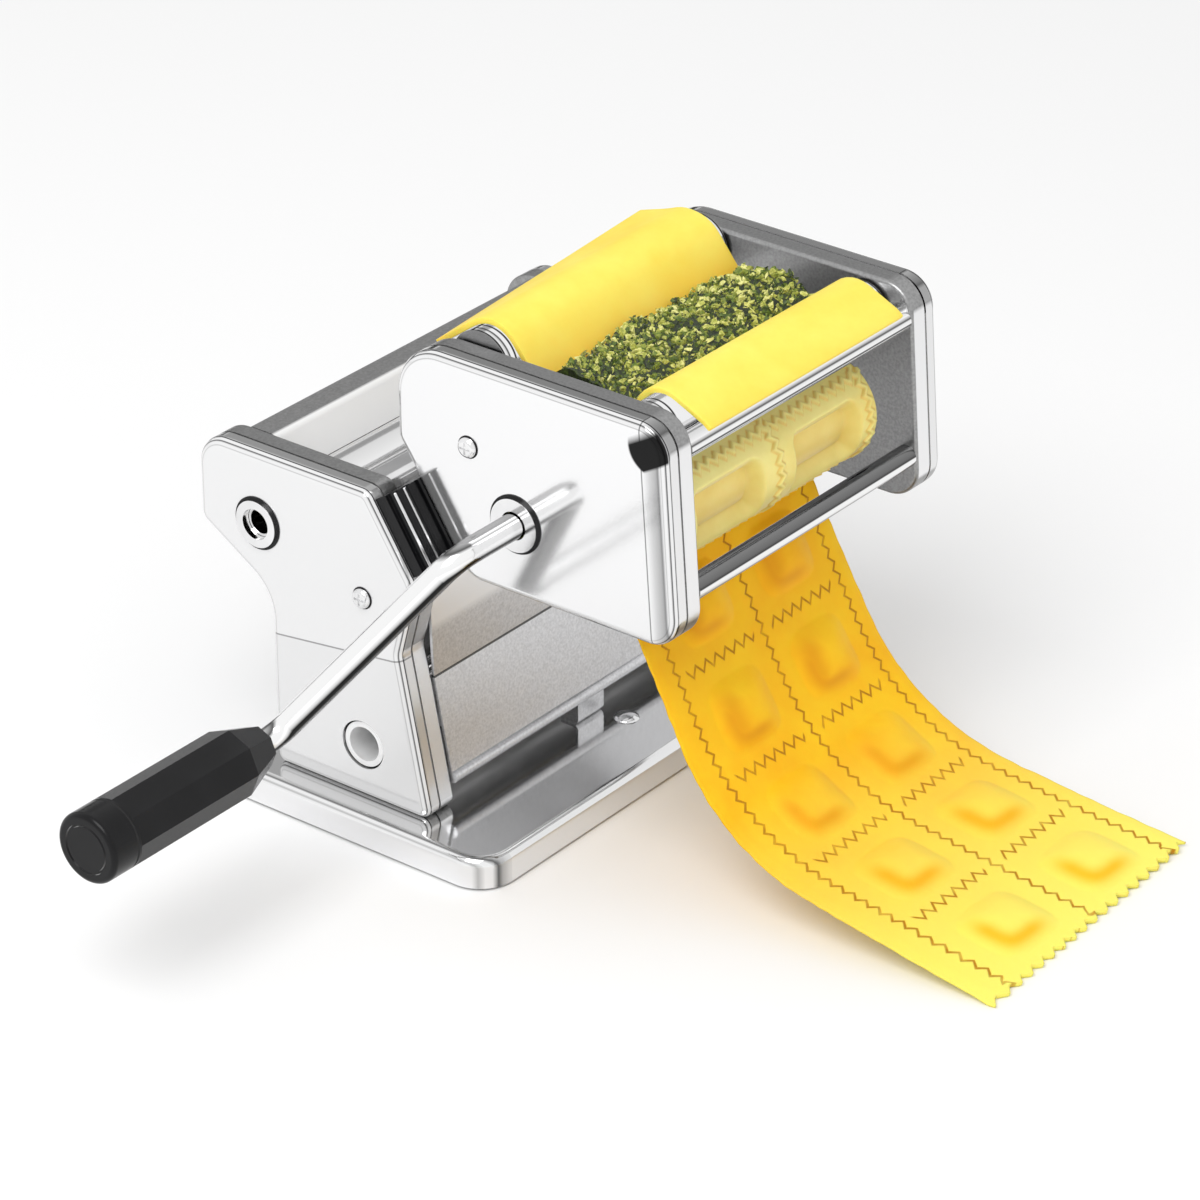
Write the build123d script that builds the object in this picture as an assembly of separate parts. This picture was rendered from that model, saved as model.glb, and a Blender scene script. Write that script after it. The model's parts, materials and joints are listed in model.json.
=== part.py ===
"""Hand cranked ravioli maker: a pasta machine body with a ravioli attachment docked on its front.

Frame: X along the rollers (the crank is on -X), -Y is the front, +Z is up.
The origin is the centre of the flat resting face under the base. Millimetres.
"""
import os
from math import acos, atan2, cos, degrees, hypot, pi, radians, sin, tan

from build123d import *

os.makedirs("parts", exist_ok=True)

# ---------------------------------------------------------------- base
base_side = 12.0
base_depth = 136.0
base_height = 13.5
base_corner = 15.0
base_edge = 4.0
base_wall = 1.2
mat_thickness = 3.0
mat_drop = 1.0
fit_gap = 0.3

# ---------------------------------------------------------------- side housings
dock_overhang = 16.5
cover_depth = 8.0
frame_depth = 8.0
cover_wall = 1.2
frame_wall = 1.5
seam_width = 1.0
seam_depth = 0.8
cover_edge = 3.5
frame_edge = 1.5
foot_front = -30.8
foot_back = 45.4
foot_corner = 4.5
shelf_low = 86.5
shelf_high = 108.0
shelf_bend = 20.0
body_back = 79.8
back_corner = 6.0
body_top = 144.0
top_corner = 13.0
brow_front = -3.0
brow_corner = 6.0
dock_angle = 56.5
dock_length = 40.0
chin_corner = 8.0
waist_back = -17.1
waist_height = 80.0
waist_bend = 8.0

# ---------------------------------------------------------------- smooth rollers
drive_y = 50.3
drive_z = 114.5
roller_radius = 11.7
gap_wide = 1.8
gap_narrow = 0.3
roller_tilt = 32.4
journal_radius = 6.5
crank_bore = 5.06
crank_bore_depth = 30.0
run_gap = 0.05
bush_radius = 9.5
flange_radius = 11.4
flange_width = 5.0
side_play = 0.4
gear_teeth = 12
gear_width = 5.5

# ---------------------------------------------------------------- body plates and rods
sheet = 1.2
sheet_bend = 4.0
rear_bend = 12.0
rear_strip_back = 68.0
rear_strip_front = 55.0
rear_strip_drop = 26.0
feed_lip_y = 46.5
feed_lip_z = 129.8
rear_apron_inset = 1.9
rear_apron_foot = 24.0
front_apron_foot = 25.4
front_apron_seam = 66.0
front_apron_top = 104.0
hem_radius = 2.4
tab_width = 16.0
tab_length = 8.0
guard_depth = 12.0
guard_reach = 14.0
guard_lip = 5.0
guard_inset = 2.0
sheet_drop = 1.4
scraper_length = 7.0
tie_radius = 4.5
low_rod_inset = 12.0
low_rod_rise = 14.0
clamp_y = 1.2
clamp_z = 36.2
clamp_outer = 9.4
clamp_bore = 7.0
clamp_window = 10.0
screw_y = -0.4
screw_z = 99.5
screw_head = 4.0
screw_head_height = 2.2
screw_shank = 2.0
screw_reach = 10.0
ring_outer = 9.5
ring_bore = 6.2
ring_height = 1.6

# ---------------------------------------------------------------- thickness regulator
knob_radius = 14.0
knob_height = 14.0
knob_skirt = 16.5
knob_skirt_height = 5.0
knob_shaft_radius = 4.0
knob_grooves = 18
knob_groove = 1.5
knob_face = 3.0

# ---------------------------------------------------------------- ravioli attachment
near_side_gap = 2.5
far_side_gap = 14.5
att_drop = 31.5
att_height = 87.5
att_floor = 97.0
att_lean = 6.5
att_shoulder = 48.5
dock_gap = 10.5
att_corners = (12.0, 8.0, 20.0, 13.0, 13.0)
hub_setback = 23.8
hub_rise = 30.0
mould_radius = 20.3
mould_ridge = 1.0
mould_overhang = 1.5
mould_gap = 0.2
mould_tilt = 11.0
mould_pockets = 3
pocket_width = 40.0
pocket_span = 25.0
pocket_depth = 6.5
pocket_corner = 5.0
pocket_edge = 3.0
ridge_width = 2.4
mould_teeth = 20
mould_phase = 43.0
hub_ring_outer = 10.5
hub_ring_bore = 5.6
axle_radius = 7.0
rear_feed_radius = 13.0
rear_feed_back = 26.2
rear_feed_drop = 8.5
front_feed_radius = 10.5
front_feed_back = 20.3
front_feed_drop = 12.5
feed_axle = 4.0
feed_side_gap = 1.0
bar_radius = 4.5
bar_inset = 4.8
upper_bar_drop = 13.5
lower_bar_rise = 18.5
back_bar_y = -38.4
back_bar_z = 167.0
rail_height = 3.2
rail_stem = 5.0
rail_head = 10.0
rail_slot_gap = 0.4
rail_top = 8.3
rail_inset = 3.0
rail_margin = 4.0
bracket_lap = 3.5
cheek_chamfer = 5.0
cheek_groove = 0.9

# ---------------------------------------------------------------- crank
crank_radius = 5.0
crank_reach = 34.0
crank_insert = 24.0
crank_swing_y = 55.0
crank_swing_z = -75.0
crank_splay = 38.0
crank_tail = 9.0
crank_bend = 12.0
grip_length = 92.0
grip_radius = 13.8
grip_neck = 9.0
grip_taper = 16.0
grip_cap_length = 14.0
grip_sides = 8
grip_axle = 4.0
grip_groove = 1.0
grip_rim = 4.0

# ---------------------------------------------------------------- dough
dough = 2.4
dough_gap = 0.35
dough_width = 118.0
sheet_spread = 2.0
sheet_far_gap = 4.5
strip_end_y = -253.0
strip_end_width = 134.0
strip_drift = 18.0
strip_slope = 62.8
strip_rest_slope = 12.9
strip_bend = 90.0
strip_start_drop = 8.7
strip_lift = 0.3
pillow_columns = 2
pillow_pitch = 50.0
pillow_width = 31.0
pillow_span = 28.0
pillow_height = 5.0
pillow_slope = 48.0
pillow_corner = 6.0
pillow_margin = 6.0
filling_crown = 9.0
filling_bank = 6.0
filling_slump = 4.0
filling_tip = 8.0
filling_margin = 2.0
filling_lump_radius = 15.0
filling_lump_height = 1.6
filling_lump_sway = 5.0
filling_lumps = 6
rear_tail_angle = 12.0
front_tail_angle = 152.0
strip_sections = 14

# ---------------------------------------------------------------- derived places
att_inner = (near_side_gap + dough_width + far_side_gap) / 2
att_seam = att_inner + frame_depth
half_att = att_seam + cover_depth
half_body = half_att + dock_overhang
body_seam = half_body - cover_depth
body_inner = body_seam - frame_depth
base_length = 2 * (half_body + base_side)
dock_run = (cos(radians(dock_angle)), sin(radians(dock_angle)))
dock_out = (-dock_run[1], dock_run[0])
chin_front = brow_front - dock_length * dock_run[0]
chin_height = body_top - dock_length * dock_run[1]
roller_gap_spacing = 2 * roller_radius + gap_wide
adjust_y = drive_y - roller_gap_spacing * cos(radians(roller_tilt))
adjust_z = drive_z + roller_gap_spacing * sin(radians(roller_tilt))
adjust_travel = gap_wide - gap_narrow
travel_dir = (cos(radians(roller_tilt)), -sin(radians(roller_tilt)))
barrel_end = body_inner - flange_width - side_play
gear_inner = body_seam + fit_gap
gear_outer = gear_inner + gear_width

att_bottom = body_top - att_drop
att_top = att_bottom + att_height
dock_line = dock_out[0] * brow_front + dock_out[1] * body_top + dock_gap
att_low_back = (dock_line - dock_out[1] * att_bottom) / dock_out[0]
att_back = att_low_back + att_shoulder * dock_run[0] / dock_run[1]
att_front_low = att_low_back - att_floor
att_front_high = att_front_low + att_lean
hub_y = att_low_back - hub_setback
hub_z = att_bottom + hub_rise
ridge_radius = mould_radius + mould_ridge
mould_spacing = 2 * ridge_radius + mould_gap
twin_y = hub_y - mould_spacing * cos(radians(mould_tilt))
twin_z = hub_z + mould_spacing * sin(radians(mould_tilt))
mould_end = dough_width / 2 + mould_overhang
mould_middle = near_side_gap + dough_width / 2 - att_inner
sheet_width = dough_width + sheet_spread
sheet_middle = att_inner - sheet_far_gap - sheet_width / 2
rear_feed_y = att_back - rear_feed_back
rear_feed_z = att_top - rear_feed_drop
front_feed_y = att_front_high + front_feed_back
front_feed_z = att_top - front_feed_drop


def front_line(z):
    """Y of the attachment's leaning front edge at a height."""
    return att_front_low + att_lean * (z - att_bottom) / att_height


upper_bar_z = att_top - upper_bar_drop
upper_bar_y = front_line(upper_bar_z) + bar_inset
lower_bar_z = att_bottom + lower_bar_rise
lower_bar_y = front_line(lower_bar_z) + bar_inset
grip_y = hub_y + crank_swing_y
grip_z = hub_z + crank_swing_z
crank_elbow_x = -half_att - crank_reach
grip_start_x = crank_elbow_x - crank_splay - crank_tail


# ---------------------------------------------------------------- shape helpers
def slab(face, low_x, high_x):
    """Extrude a Y-Z outline between two X positions."""
    return extrude(Plane.YZ.offset(low_x) * face, amount=high_x - low_x)


def rounded(points, radii):
    """Closed outline with a fillet radius for each corner."""
    return make_face(FilletPolyline(*points, radius=list(radii), close=True).edges())


def rod(y, z, radius, low_x, high_x):
    """Round bar along X."""
    return slab(Pos(y, z) * Circle(radius), low_x, high_x)


def tube(y, z, outer, inner, low_x, high_x):
    """Round tube along X."""
    return slab(Pos(y, z) * (Circle(outer) - Circle(inner)), low_x, high_x)


def edges_at(shape, x):
    """Edges that lie wholly on the plane X = x."""
    found = []
    for edge in shape.edges():
        box = edge.bounding_box()
        if abs(box.min.X - x) < 0.01 and abs(box.max.X - x) < 0.01:
            found.append(edge)
    return found


def pan(face, closed_x, open_x, wall, edge):
    """Shallow pressed pan: closed and rounded at one X, open at the other."""
    inward = 1 if open_x > closed_x else -1
    outer = slab(face, min(closed_x, open_x), max(closed_x, open_x))
    outer = fillet(edges_at(outer, closed_x), edge)
    core_x = closed_x + inward * wall
    core = slab(offset(face, amount=-wall), min(core_x, open_x), max(core_x, open_x))
    core = fillet(edges_at(core, core_x), max(edge - wall, 0.3))
    return outer - core


def half_housing_cover(face, outer_x, seam_x):
    """Cover pan on the -X side with a narrow stepped seam around its open rim."""
    body = pan(face, -outer_x, -seam_x, cover_wall, cover_edge)
    step = slab(face - offset(face, amount=-seam_depth), -seam_x - seam_width, -seam_x)
    return body - step


def bent_sheet(points, radii, thickness, low_x, high_x):
    """Sheet metal bent along a Y-Z path."""
    line = FilletPolyline(*points, radius=list(radii)) if radii else Polyline(*points)
    return slab(trace(line, line_width=thickness), low_x, high_x)


def on_dock(along, out):
    """Y, Z of a point given from the brow: along the dock face and out from it."""
    y = brow_front + along * dock_run[0] + out * dock_out[0]
    z = body_top + along * dock_run[1] + out * dock_out[1]
    return (y, z)


def gear(y, z, teeth, pitch_radius, low_x, high_x, phase, bore):
    """Spur gear with straight-sided teeth and running backlash."""
    module = 2 * pitch_radius / teeth
    step = 2 * pi / teeth
    root = pitch_radius - 1.2 * module
    tip = pitch_radius + 0.92 * module
    points = []
    for k in range(teeth):
        centre = radians(phase) + k * step
        for radius, share in ((root, -0.36), (tip, -0.11), (tip, 0.11), (root, 0.36)):
            angle = centre + share * step
            points.append((y + radius * cos(angle), z + radius * sin(angle)))
    face = make_face(Polyline(*points, close=True).edges())
    return slab(face, low_x, high_x) - rod(y, z, bore, low_x, high_x)


def wrap_angle(first, first_r, second, second_r, side):
    """Angle of the normal of the outer tangent shared by two circles."""
    dy, dz = second[0] - first[0], second[1] - first[1]
    return atan2(dz, dy) + side * acos((first_r - second_r) / hypot(dy, dz))


def wrapped_sheet(roller, radius, mould, mould_r, side, tail, end, grow):
    """Dough band over a feed roller, straight across and down onto a moulding roller."""
    low = radius + dough_gap - grow
    high = radius + dough_gap + dough + grow
    low_m = mould_r + dough_gap - grow
    high_m = mould_r + dough_gap + dough + grow
    normal = degrees(wrap_angle(roller, low, mould, low_m, side)) % 360
    arc_a = CenterArc(roller, high, tail, normal - tail)
    arc_b = CenterArc(mould, high_m, normal, end - normal)
    arc_c = CenterArc(mould, low_m, end, normal - end)
    arc_d = CenterArc(roller, low, normal, tail - normal)
    arcs = [arc_a, arc_b, arc_c, arc_d]
    joins = [Line(arcs[k] @ 1, arcs[(k + 1) % 4] @ 0) for k in range(4)]
    return make_face([curve.edge() for curve in arcs + joins])


def other_side(shape):
    """The same piece on the +X side."""
    return mirror(shape, about=Plane.YZ)


def save(shape, name):
    export_step(shape, "parts/" + name + ".step")


# ---------------------------------------------------------------- base
def base_shell():
    outer = Pos(0, 0, (base_height + mat_drop) / 2) * Box(base_length, base_depth, base_height - mat_drop)
    outer = fillet(outer.edges().filter_by(Axis.Z), base_corner)
    outer = fillet(outer.faces().sort_by(Axis.Z)[-1].edges(), base_edge)
    inside_top = base_height - base_wall
    core = Pos(0, 0, (inside_top + mat_drop) / 2) * Box(
        base_length - 2 * base_wall, base_depth - 2 * base_wall, inside_top - mat_drop)
    core = fillet(core.edges().filter_by(Axis.Z), base_corner - base_wall)
    core = fillet(core.faces().sort_by(Axis.Z)[-1].edges(), base_edge - base_wall)
    return outer - core


def base_mat():
    inset = 2 * (base_wall + fit_gap)
    mat = Pos(0, 0, mat_thickness / 2) * Box(base_length - inset, base_depth - inset, mat_thickness)
    return fillet(mat.edges().filter_by(Axis.Z), base_corner - base_wall - fit_gap)


# ---------------------------------------------------------------- side housings
def body_face():
    points = [(foot_front, base_height), (foot_back, base_height), (foot_back, shelf_low),
              (body_back, shelf_high), (body_back, body_top), (brow_front, body_top),
              (chin_front, chin_height), (waist_back, waist_height)]
    radii = [foot_corner, foot_corner, shelf_bend, back_corner,
             top_corner, brow_corner, chin_corner, waist_bend]
    return rounded(points, radii)


def bush_slot(low_x, high_x, radius):
    """Slot that lets an eccentric bush move towards the drive roller."""
    end_y = adjust_y + adjust_travel * travel_dir[0]
    end_z = adjust_z + adjust_travel * travel_dir[1]
    across = (-travel_dir[1] * radius, travel_dir[0] * radius)
    corners = [(adjust_y + across[0], adjust_z + across[1]), (end_y + across[0], end_z + across[1]),
               (end_y - across[0], end_z - across[1]), (adjust_y - across[0], adjust_z - across[1])]
    middle = slab(make_face(Polyline(*corners, close=True).edges()), low_x, high_x)
    return middle + rod(adjust_y, adjust_z, radius, low_x, high_x) + rod(end_y, end_z, radius, low_x, high_x)


def body_cover(crank_side):
    cover = half_housing_cover(body_face(), half_body, body_seam)
    cover -= rod(clamp_y, clamp_z, clamp_window, -half_body - 1, -body_seam)
    cover -= rod(screw_y, screw_z, screw_shank + run_gap, -half_body - 1, -body_seam)
    if crank_side:
        cover -= rod(drive_y, drive_z, ring_bore + 0.8, -half_body - 1, -body_seam)
    else:
        cover -= rod(adjust_y, adjust_z, knob_shaft_radius + run_gap, -half_body - 1, -body_seam)
    return cover


def body_frame():
    frame = pan(body_face(), -body_inner, -body_seam, frame_wall, frame_edge)
    frame -= rod(drive_y, drive_z, bush_radius, -body_seam, -body_inner)
    frame -= bush_slot(-body_seam, -body_inner, bush_radius + run_gap)
    frame -= rod(screw_y, screw_z, screw_shank + run_gap, -body_seam, -body_inner)
    frame -= rod(clamp_y, clamp_z, clamp_bore, -body_seam, -body_inner)
    return frame


def bush(y, z):
    """Flanged nylon bush for the -X frame."""
    sleeve = tube(y, z, bush_radius, journal_radius + run_gap, -body_seam, -body_inner)
    flange = tube(y, z, flange_radius, journal_radius + run_gap, -body_inner, -body_inner + flange_width)
    return sleeve + flange


def rear_feed_plate():
    points = [(rear_strip_back, body_top - 0.9 - rear_strip_drop), (rear_strip_back, body_top - 0.9),
              (rear_strip_front, body_top - 0.9), (feed_lip_y, feed_lip_z)]
    return bent_sheet(points, (3.0, 3.0), sheet, -body_inner, body_inner)


def rear_apron():
    y = foot_back - rear_apron_inset
    lift = (rear_strip_back - 2.6 - y) * (shelf_high - shelf_low) / (body_back - foot_back)
    corner_z = shelf_low + 0.8
    points = [(y, rear_apron_foot), (y, corner_z), (rear_strip_back - 2.6, corner_z + lift),
              (rear_strip_back - 2.6, body_top - rear_strip_drop - 2.5)]
    return bent_sheet(points, (rear_bend, sheet_bend), sheet, -body_inner, body_inner)


def front_apron():
    slope = (waist_back - foot_front) / (waist_height - base_height)
    foot_y = foot_front + slope * (front_apron_foot - base_height) - 0.4
    seam_y = foot_front + slope * (front_apron_seam - base_height) - 0.4
    points = [(foot_y, front_apron_foot), (seam_y, front_apron_seam), (seam_y + 1.5, front_apron_top)]
    panel = bent_sheet(points, (sheet_bend,), sheet, -body_inner, body_inner)
    hem = rod(foot_y, front_apron_foot, hem_radius, -body_inner, body_inner)
    tab_z = base_height + sheet / 2
    tab_points = [(foot_y, front_apron_foot), (foot_y, tab_z), (foot_y + tab_length, tab_z)]
    tab = bent_sheet(tab_points, (2.0,), sheet, -tab_width / 2, tab_width / 2)
    return panel + hem + tab


def front_guard():
    back = (brow_front + guard_depth, body_top - sheet_drop)
    brow = (brow_front + guard_inset, body_top - sheet_drop)
    points = [(back[0], back[1] - guard_lip), back, brow, on_dock(-guard_reach, -sheet_drop)]
    return bent_sheet(points, (sheet_bend / 2, sheet_bend), sheet, -body_inner, body_inner)


def scraper(y, z, angle):
    """Thin blade that clears one smooth roller, along a given direction from its axis."""
    ray = (cos(radians(angle)), sin(radians(angle)))
    near = roller_radius + 0.4
    far = near + scraper_length
    points = [(y + near * ray[0], z + near * ray[1]), (y + far * ray[0], z + far * ray[1])]
    return bent_sheet(points, (), sheet, -body_inner, body_inner)


def tie_rods():
    """Cross rods that hold the two frames apart; the top one takes the cover screws."""
    threaded = rod(screw_y, screw_z, tie_radius, -body_inner, body_inner)
    for low, high in ((-body_inner, -body_inner + screw_reach), (body_inner - screw_reach, body_inner)):
        threaded -= rod(screw_y, screw_z, screw_shank + run_gap, low, high)
    low_rod = rod(foot_back - low_rod_inset, base_height + low_rod_rise, tie_radius, -body_inner, body_inner)
    return Compound(children=[threaded, low_rod])


def clamp_tube():
    return tube(clamp_y, clamp_z, clamp_outer, clamp_bore, -body_inner, body_inner)


def cover_screw(y, z, outer_x, inner_x):
    """Round-head cross screw on the -X side."""
    head = rod(y, z, screw_head, -outer_x - screw_head_height, -outer_x)
    head = fillet(head.faces().sort_by(Axis.X)[0].edges(), screw_head_height * 0.8)
    slot = Box(1.2, screw_head * 1.2, 0.9) + Box(1.2, 0.9, screw_head * 1.2)
    head -= Pos(-outer_x - screw_head_height, y, z) * slot
    return head + rod(y, z, screw_shank, -outer_x, -inner_x + screw_reach)


# ---------------------------------------------------------------- smooth rollers
def drive_roller():
    roller = rod(drive_y, drive_z, roller_radius, -barrel_end, barrel_end)
    roller += rod(drive_y, drive_z, journal_radius, -half_body + cover_wall + 0.6, body_seam)
    return roller - rod(drive_y, drive_z, crank_bore, -half_body, -half_body + crank_bore_depth)


def adjust_roller():
    roller = rod(adjust_y, adjust_z, roller_radius, -barrel_end, barrel_end)
    return roller + rod(adjust_y, adjust_z, journal_radius, -gear_outer, body_seam)


def roller_gear(y, z, phase):
    pitch = roller_radius + gap_narrow / 2
    return gear(y, z, gear_teeth, pitch, -gear_outer, -gear_inner, phase, journal_radius)


def socket_ring():
    return tube(drive_y, drive_z, ring_outer, ring_bore, -half_body - ring_height, -half_body) + tube(
        drive_y, drive_z, ring_bore + 0.8, ring_bore, -half_body, -half_body + cover_wall + 0.4)


# ---------------------------------------------------------------- regulator
def regulator_shaft():
    shaft_end = half_body + knob_height - knob_face
    shaft = rod(adjust_y, adjust_z, knob_shaft_radius, body_seam + fit_gap, shaft_end)
    collar = rod(adjust_y, adjust_z, journal_radius, body_seam + fit_gap, half_body - cover_wall - fit_gap)
    return shaft + collar


def regulator_knob():
    base_x = half_body + fit_gap
    knob = rod(adjust_y, adjust_z, knob_skirt, base_x, base_x + knob_skirt_height)
    grip = rod(adjust_y, adjust_z, knob_radius, base_x + knob_skirt_height, base_x + knob_height)
    grip = fillet(edges_at(grip, base_x + knob_height), 2.0)
    groove_circle = knob_radius + 0.3 * knob_groove
    for k in range(knob_grooves):
        angle = 2 * pi * k / knob_grooves
        y = adjust_y + groove_circle * cos(angle)
        z = adjust_z + groove_circle * sin(angle)
        grip -= rod(y, z, knob_groove, base_x + knob_skirt_height, base_x + knob_height)
    knob = chamfer(edges_at(knob, base_x + knob_skirt_height), 1.2) + grip
    bore_end = half_body + knob_height - knob_face + fit_gap
    return knob - rod(adjust_y, adjust_z, knob_shaft_radius + run_gap, base_x, bore_end)


# ---------------------------------------------------------------- docking rails
def dock_face(profile_points):
    """Profile given as X and height out of the dock face, as a face square to the dock."""
    y, z = on_dock(0.0, 0.0)
    plane = Plane(origin=(0, y, z), x_dir=(1, 0, 0), z_dir=(0, -dock_run[0], -dock_run[1]))
    return plane * make_face(Polyline(*profile_points, close=True).edges())


def dock_prism(points, start, length):
    face = dock_face(points)
    shift = Pos(0, -start * dock_run[0], -start * dock_run[1])
    return extrude(shift * face, amount=length)


def dock_rail():
    """Ribbed rail with a T-shaped head on the slanted edge of the -X housing."""
    low, high = -half_body + rail_inset, -body_inner
    mid = (low + high) / 2
    t = rail_height
    points = [(low, 0.0), (high, 0.0), (high, t), (mid + rail_stem / 2, t), (mid + rail_stem / 2, 2 * t),
              (mid + rail_head / 2, 2 * t), (mid + rail_head / 2, rail_top), (mid - rail_head / 2, rail_top),
              (mid - rail_head / 2, 2 * t), (mid - rail_stem / 2, 2 * t), (mid - rail_stem / 2, t), (low, t)]
    return dock_prism(points, rail_margin, dock_length - 2 * rail_margin)


def dock_bracket():
    """Black block on the attachment that slides over the rail, with a ribbed outer cheek."""
    low, high = -half_body + rail_inset, -body_inner
    mid = (low + high) / 2
    t, g = rail_height, rail_slot_gap
    left, right = low - 2 * g, -att_inner - bracket_lap
    cheek = -half_att - fit_gap
    stem, head = rail_stem / 2 + g, rail_head / 2 + g
    top = 2 * dock_gap
    slope = cheek_chamfer
    points = [(left, t + g), (mid - stem, t + g), (mid - stem, 2 * t - g), (mid - head, 2 * t - g),
              (mid - head, rail_top + g), (mid + head, rail_top + g), (mid + head, 2 * t - g),
              (mid + stem, 2 * t - g), (mid + stem, t + g), (right, t + g), (right, dock_gap),
              (cheek, dock_gap), (cheek, top), (left + slope, top), (left, top - slope)]
    block = dock_prism(points, rail_margin, dock_length - 2 * rail_margin)
    for share in (0.2, 0.5, 0.8):
        out = t + g + share * (top - slope - t - g)
        w = cheek_groove
        groove = [(left - w, out - w), (left + w, out - w), (left + w, out + w), (left - w, out + w)]
        block -= dock_prism(groove, rail_margin - 1.0, dock_length)
    return block


# ---------------------------------------------------------------- ravioli attachment
def att_face():
    points = [(att_low_back, att_bottom), (att_back, att_bottom + att_shoulder), (att_back, att_top),
              (att_front_high, att_top), (att_front_low, att_bottom)]
    return rounded(points, att_corners)


def att_cover(crank_side):
    cover = half_housing_cover(att_face(), half_att, att_seam)
    cover -= rod(back_bar_y, back_bar_z, screw_shank + run_gap, -half_att - 1, -att_seam)
    if crank_side:
        cover -= rod(hub_y, hub_z, hub_ring_bore + 0.8, -half_att - 1, -att_seam)
    return cover


def att_frame():
    frame = pan(att_face(), -att_inner, -att_seam, frame_wall, frame_edge)
    for y, z in ((hub_y, hub_z), (twin_y, twin_z)):
        frame -= rod(y, z, axle_radius + run_gap, -att_seam, -att_inner)
    for y, z in ((rear_feed_y, rear_feed_z), (front_feed_y, front_feed_z)):
        frame -= rod(y, z, feed_axle + run_gap, -att_seam, -att_inner)
    return frame - rod(back_bar_y, back_bar_z, screw_shank + run_gap, -att_seam, -att_inner)


def hub_ring():
    ring = tube(hub_y, hub_z, hub_ring_outer, hub_ring_bore, -half_att - ring_height, -half_att)
    neck = tube(hub_y, hub_z, hub_ring_bore + 0.8, hub_ring_bore, -half_att, -half_att + cover_wall)
    return ring + neck


def mould_roller(y, z, nip_angle, phase, crank_socket):
    """Moulding roller: barrel with pockets, cutting ridges between them and its axle."""
    middle = mould_middle
    roller = rod(y, z, mould_radius, middle - mould_end, middle + mould_end)
    first = nip_angle + phase
    pitch = 360 / mould_pockets
    ring_x = mould_end - ridge_width
    for x in (middle - ring_x, middle, middle + ring_x):
        roller += rod(y, z, ridge_radius, x - ridge_width / 2, x + ridge_width / 2)
    for k in range(mould_pockets):
        for x in (middle - ring_x / 2, middle + ring_x / 2):
            roller -= at_angle(pocket_tool(), x, y, z, first + k * pitch)
        rib = Pos(0, 0, mould_radius - 1.0) * Box(2 * ring_x, ridge_width * 0.7, 2 * (mould_ridge + 0.85))
        room = rod(y, z, ridge_radius, middle - ring_x, middle + ring_x)
        roller += at_angle(rib, middle, y, z, first + (k + 0.5) * pitch) & room
    roller += rod(y, z, axle_radius, -half_att + cover_wall + fit_gap, att_seam)
    if crank_socket:
        roller -= rod(y, z, crank_bore, -half_att, -half_att + crank_insert + 2.0)
    return roller


def pocket_tool():
    """Rounded pillow cut, standing out from the roller surface."""
    floor = mould_radius - pocket_depth
    tool = Pos(0, 0, floor + mould_radius / 2) * Box(pocket_width, pocket_span, mould_radius)
    tool = fillet(tool.edges().filter_by(Axis.Z), pocket_corner)
    return fillet(tool.faces().sort_by(Axis.Z)[0].edges(), pocket_edge)


def at_angle(shape, x, y, z, angle):
    """Turn a piece built on +Z to an angle around a roller axis and move it there."""
    return Pos(x, y, z) * Rot(angle - 90.0, 0, 0) * shape


def mould_gear(y, z, phase):
    low = -att_inner - frame_wall - fit_gap - gear_width
    return gear(y, z, mould_teeth, mould_spacing / 2, low, low + gear_width, phase, axle_radius)


def feed_roller(y, z, radius):
    barrel = rod(y, z, radius, -att_inner + feed_side_gap, att_inner - feed_side_gap)
    return barrel + rod(y, z, feed_axle, -att_seam, att_seam)


def back_bar():
    bar = rod(back_bar_y, back_bar_z, bar_radius, -att_inner, att_inner)
    for low, high in ((-att_inner, -att_inner + screw_reach), (att_inner - screw_reach, att_inner)):
        bar -= rod(back_bar_y, back_bar_z, screw_shank + run_gap, low, high)
    return bar


# ---------------------------------------------------------------- crank
def crank_rod():
    swing = hypot(crank_swing_y, crank_swing_z)
    inner_x = half_att - crank_insert
    points = [(inner_x, 0), (-crank_elbow_x, 0), (-crank_elbow_x + crank_splay, swing), (-grip_start_x, swing)]
    bend_plane = Plane(origin=(0, hub_y, hub_z), x_dir=(-1, 0, 0), z_dir=(0, crank_swing_z, -crank_swing_y))
    line = bend_plane * FilletPolyline(*points, radius=[crank_bend, crank_bend])
    start = Plane(origin=(-inner_x, hub_y, hub_z), x_dir=(0, 1, 0), z_dir=(-1, 0, 0))
    arm = sweep(start * Circle(crank_radius), path=line)
    axle_end = grip_start_x - grip_length + grip_cap_length / 2
    return arm + rod(grip_y, grip_z, grip_axle, axle_end, grip_start_x)


def crank_grip():
    """Eight-sided grip with a tapered neck, turning freely on the rod's end."""
    barrel_x = grip_start_x - grip_taper
    cap_x = grip_start_x - grip_length + grip_cap_length
    start = grip_start_x - fit_gap
    side = 2 * pi / grip_sides
    narrow = grip_neck * cos(side / 2)
    sections = [Plane.YZ.offset(start) * Pos(grip_y, grip_z) * RegularPolygon(narrow, grip_sides),
                Plane.YZ.offset(barrel_x) * Pos(grip_y, grip_z) * RegularPolygon(grip_radius, grip_sides)]
    neck = loft(sections, ruled=True)
    barrel = slab(Pos(grip_y, grip_z) * RegularPolygon(grip_radius, grip_sides), cap_x + fit_gap, barrel_x)
    grip = neck + barrel
    return grip - rod(grip_y, grip_z, grip_axle + run_gap, cap_x - 1, start + 1)


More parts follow.
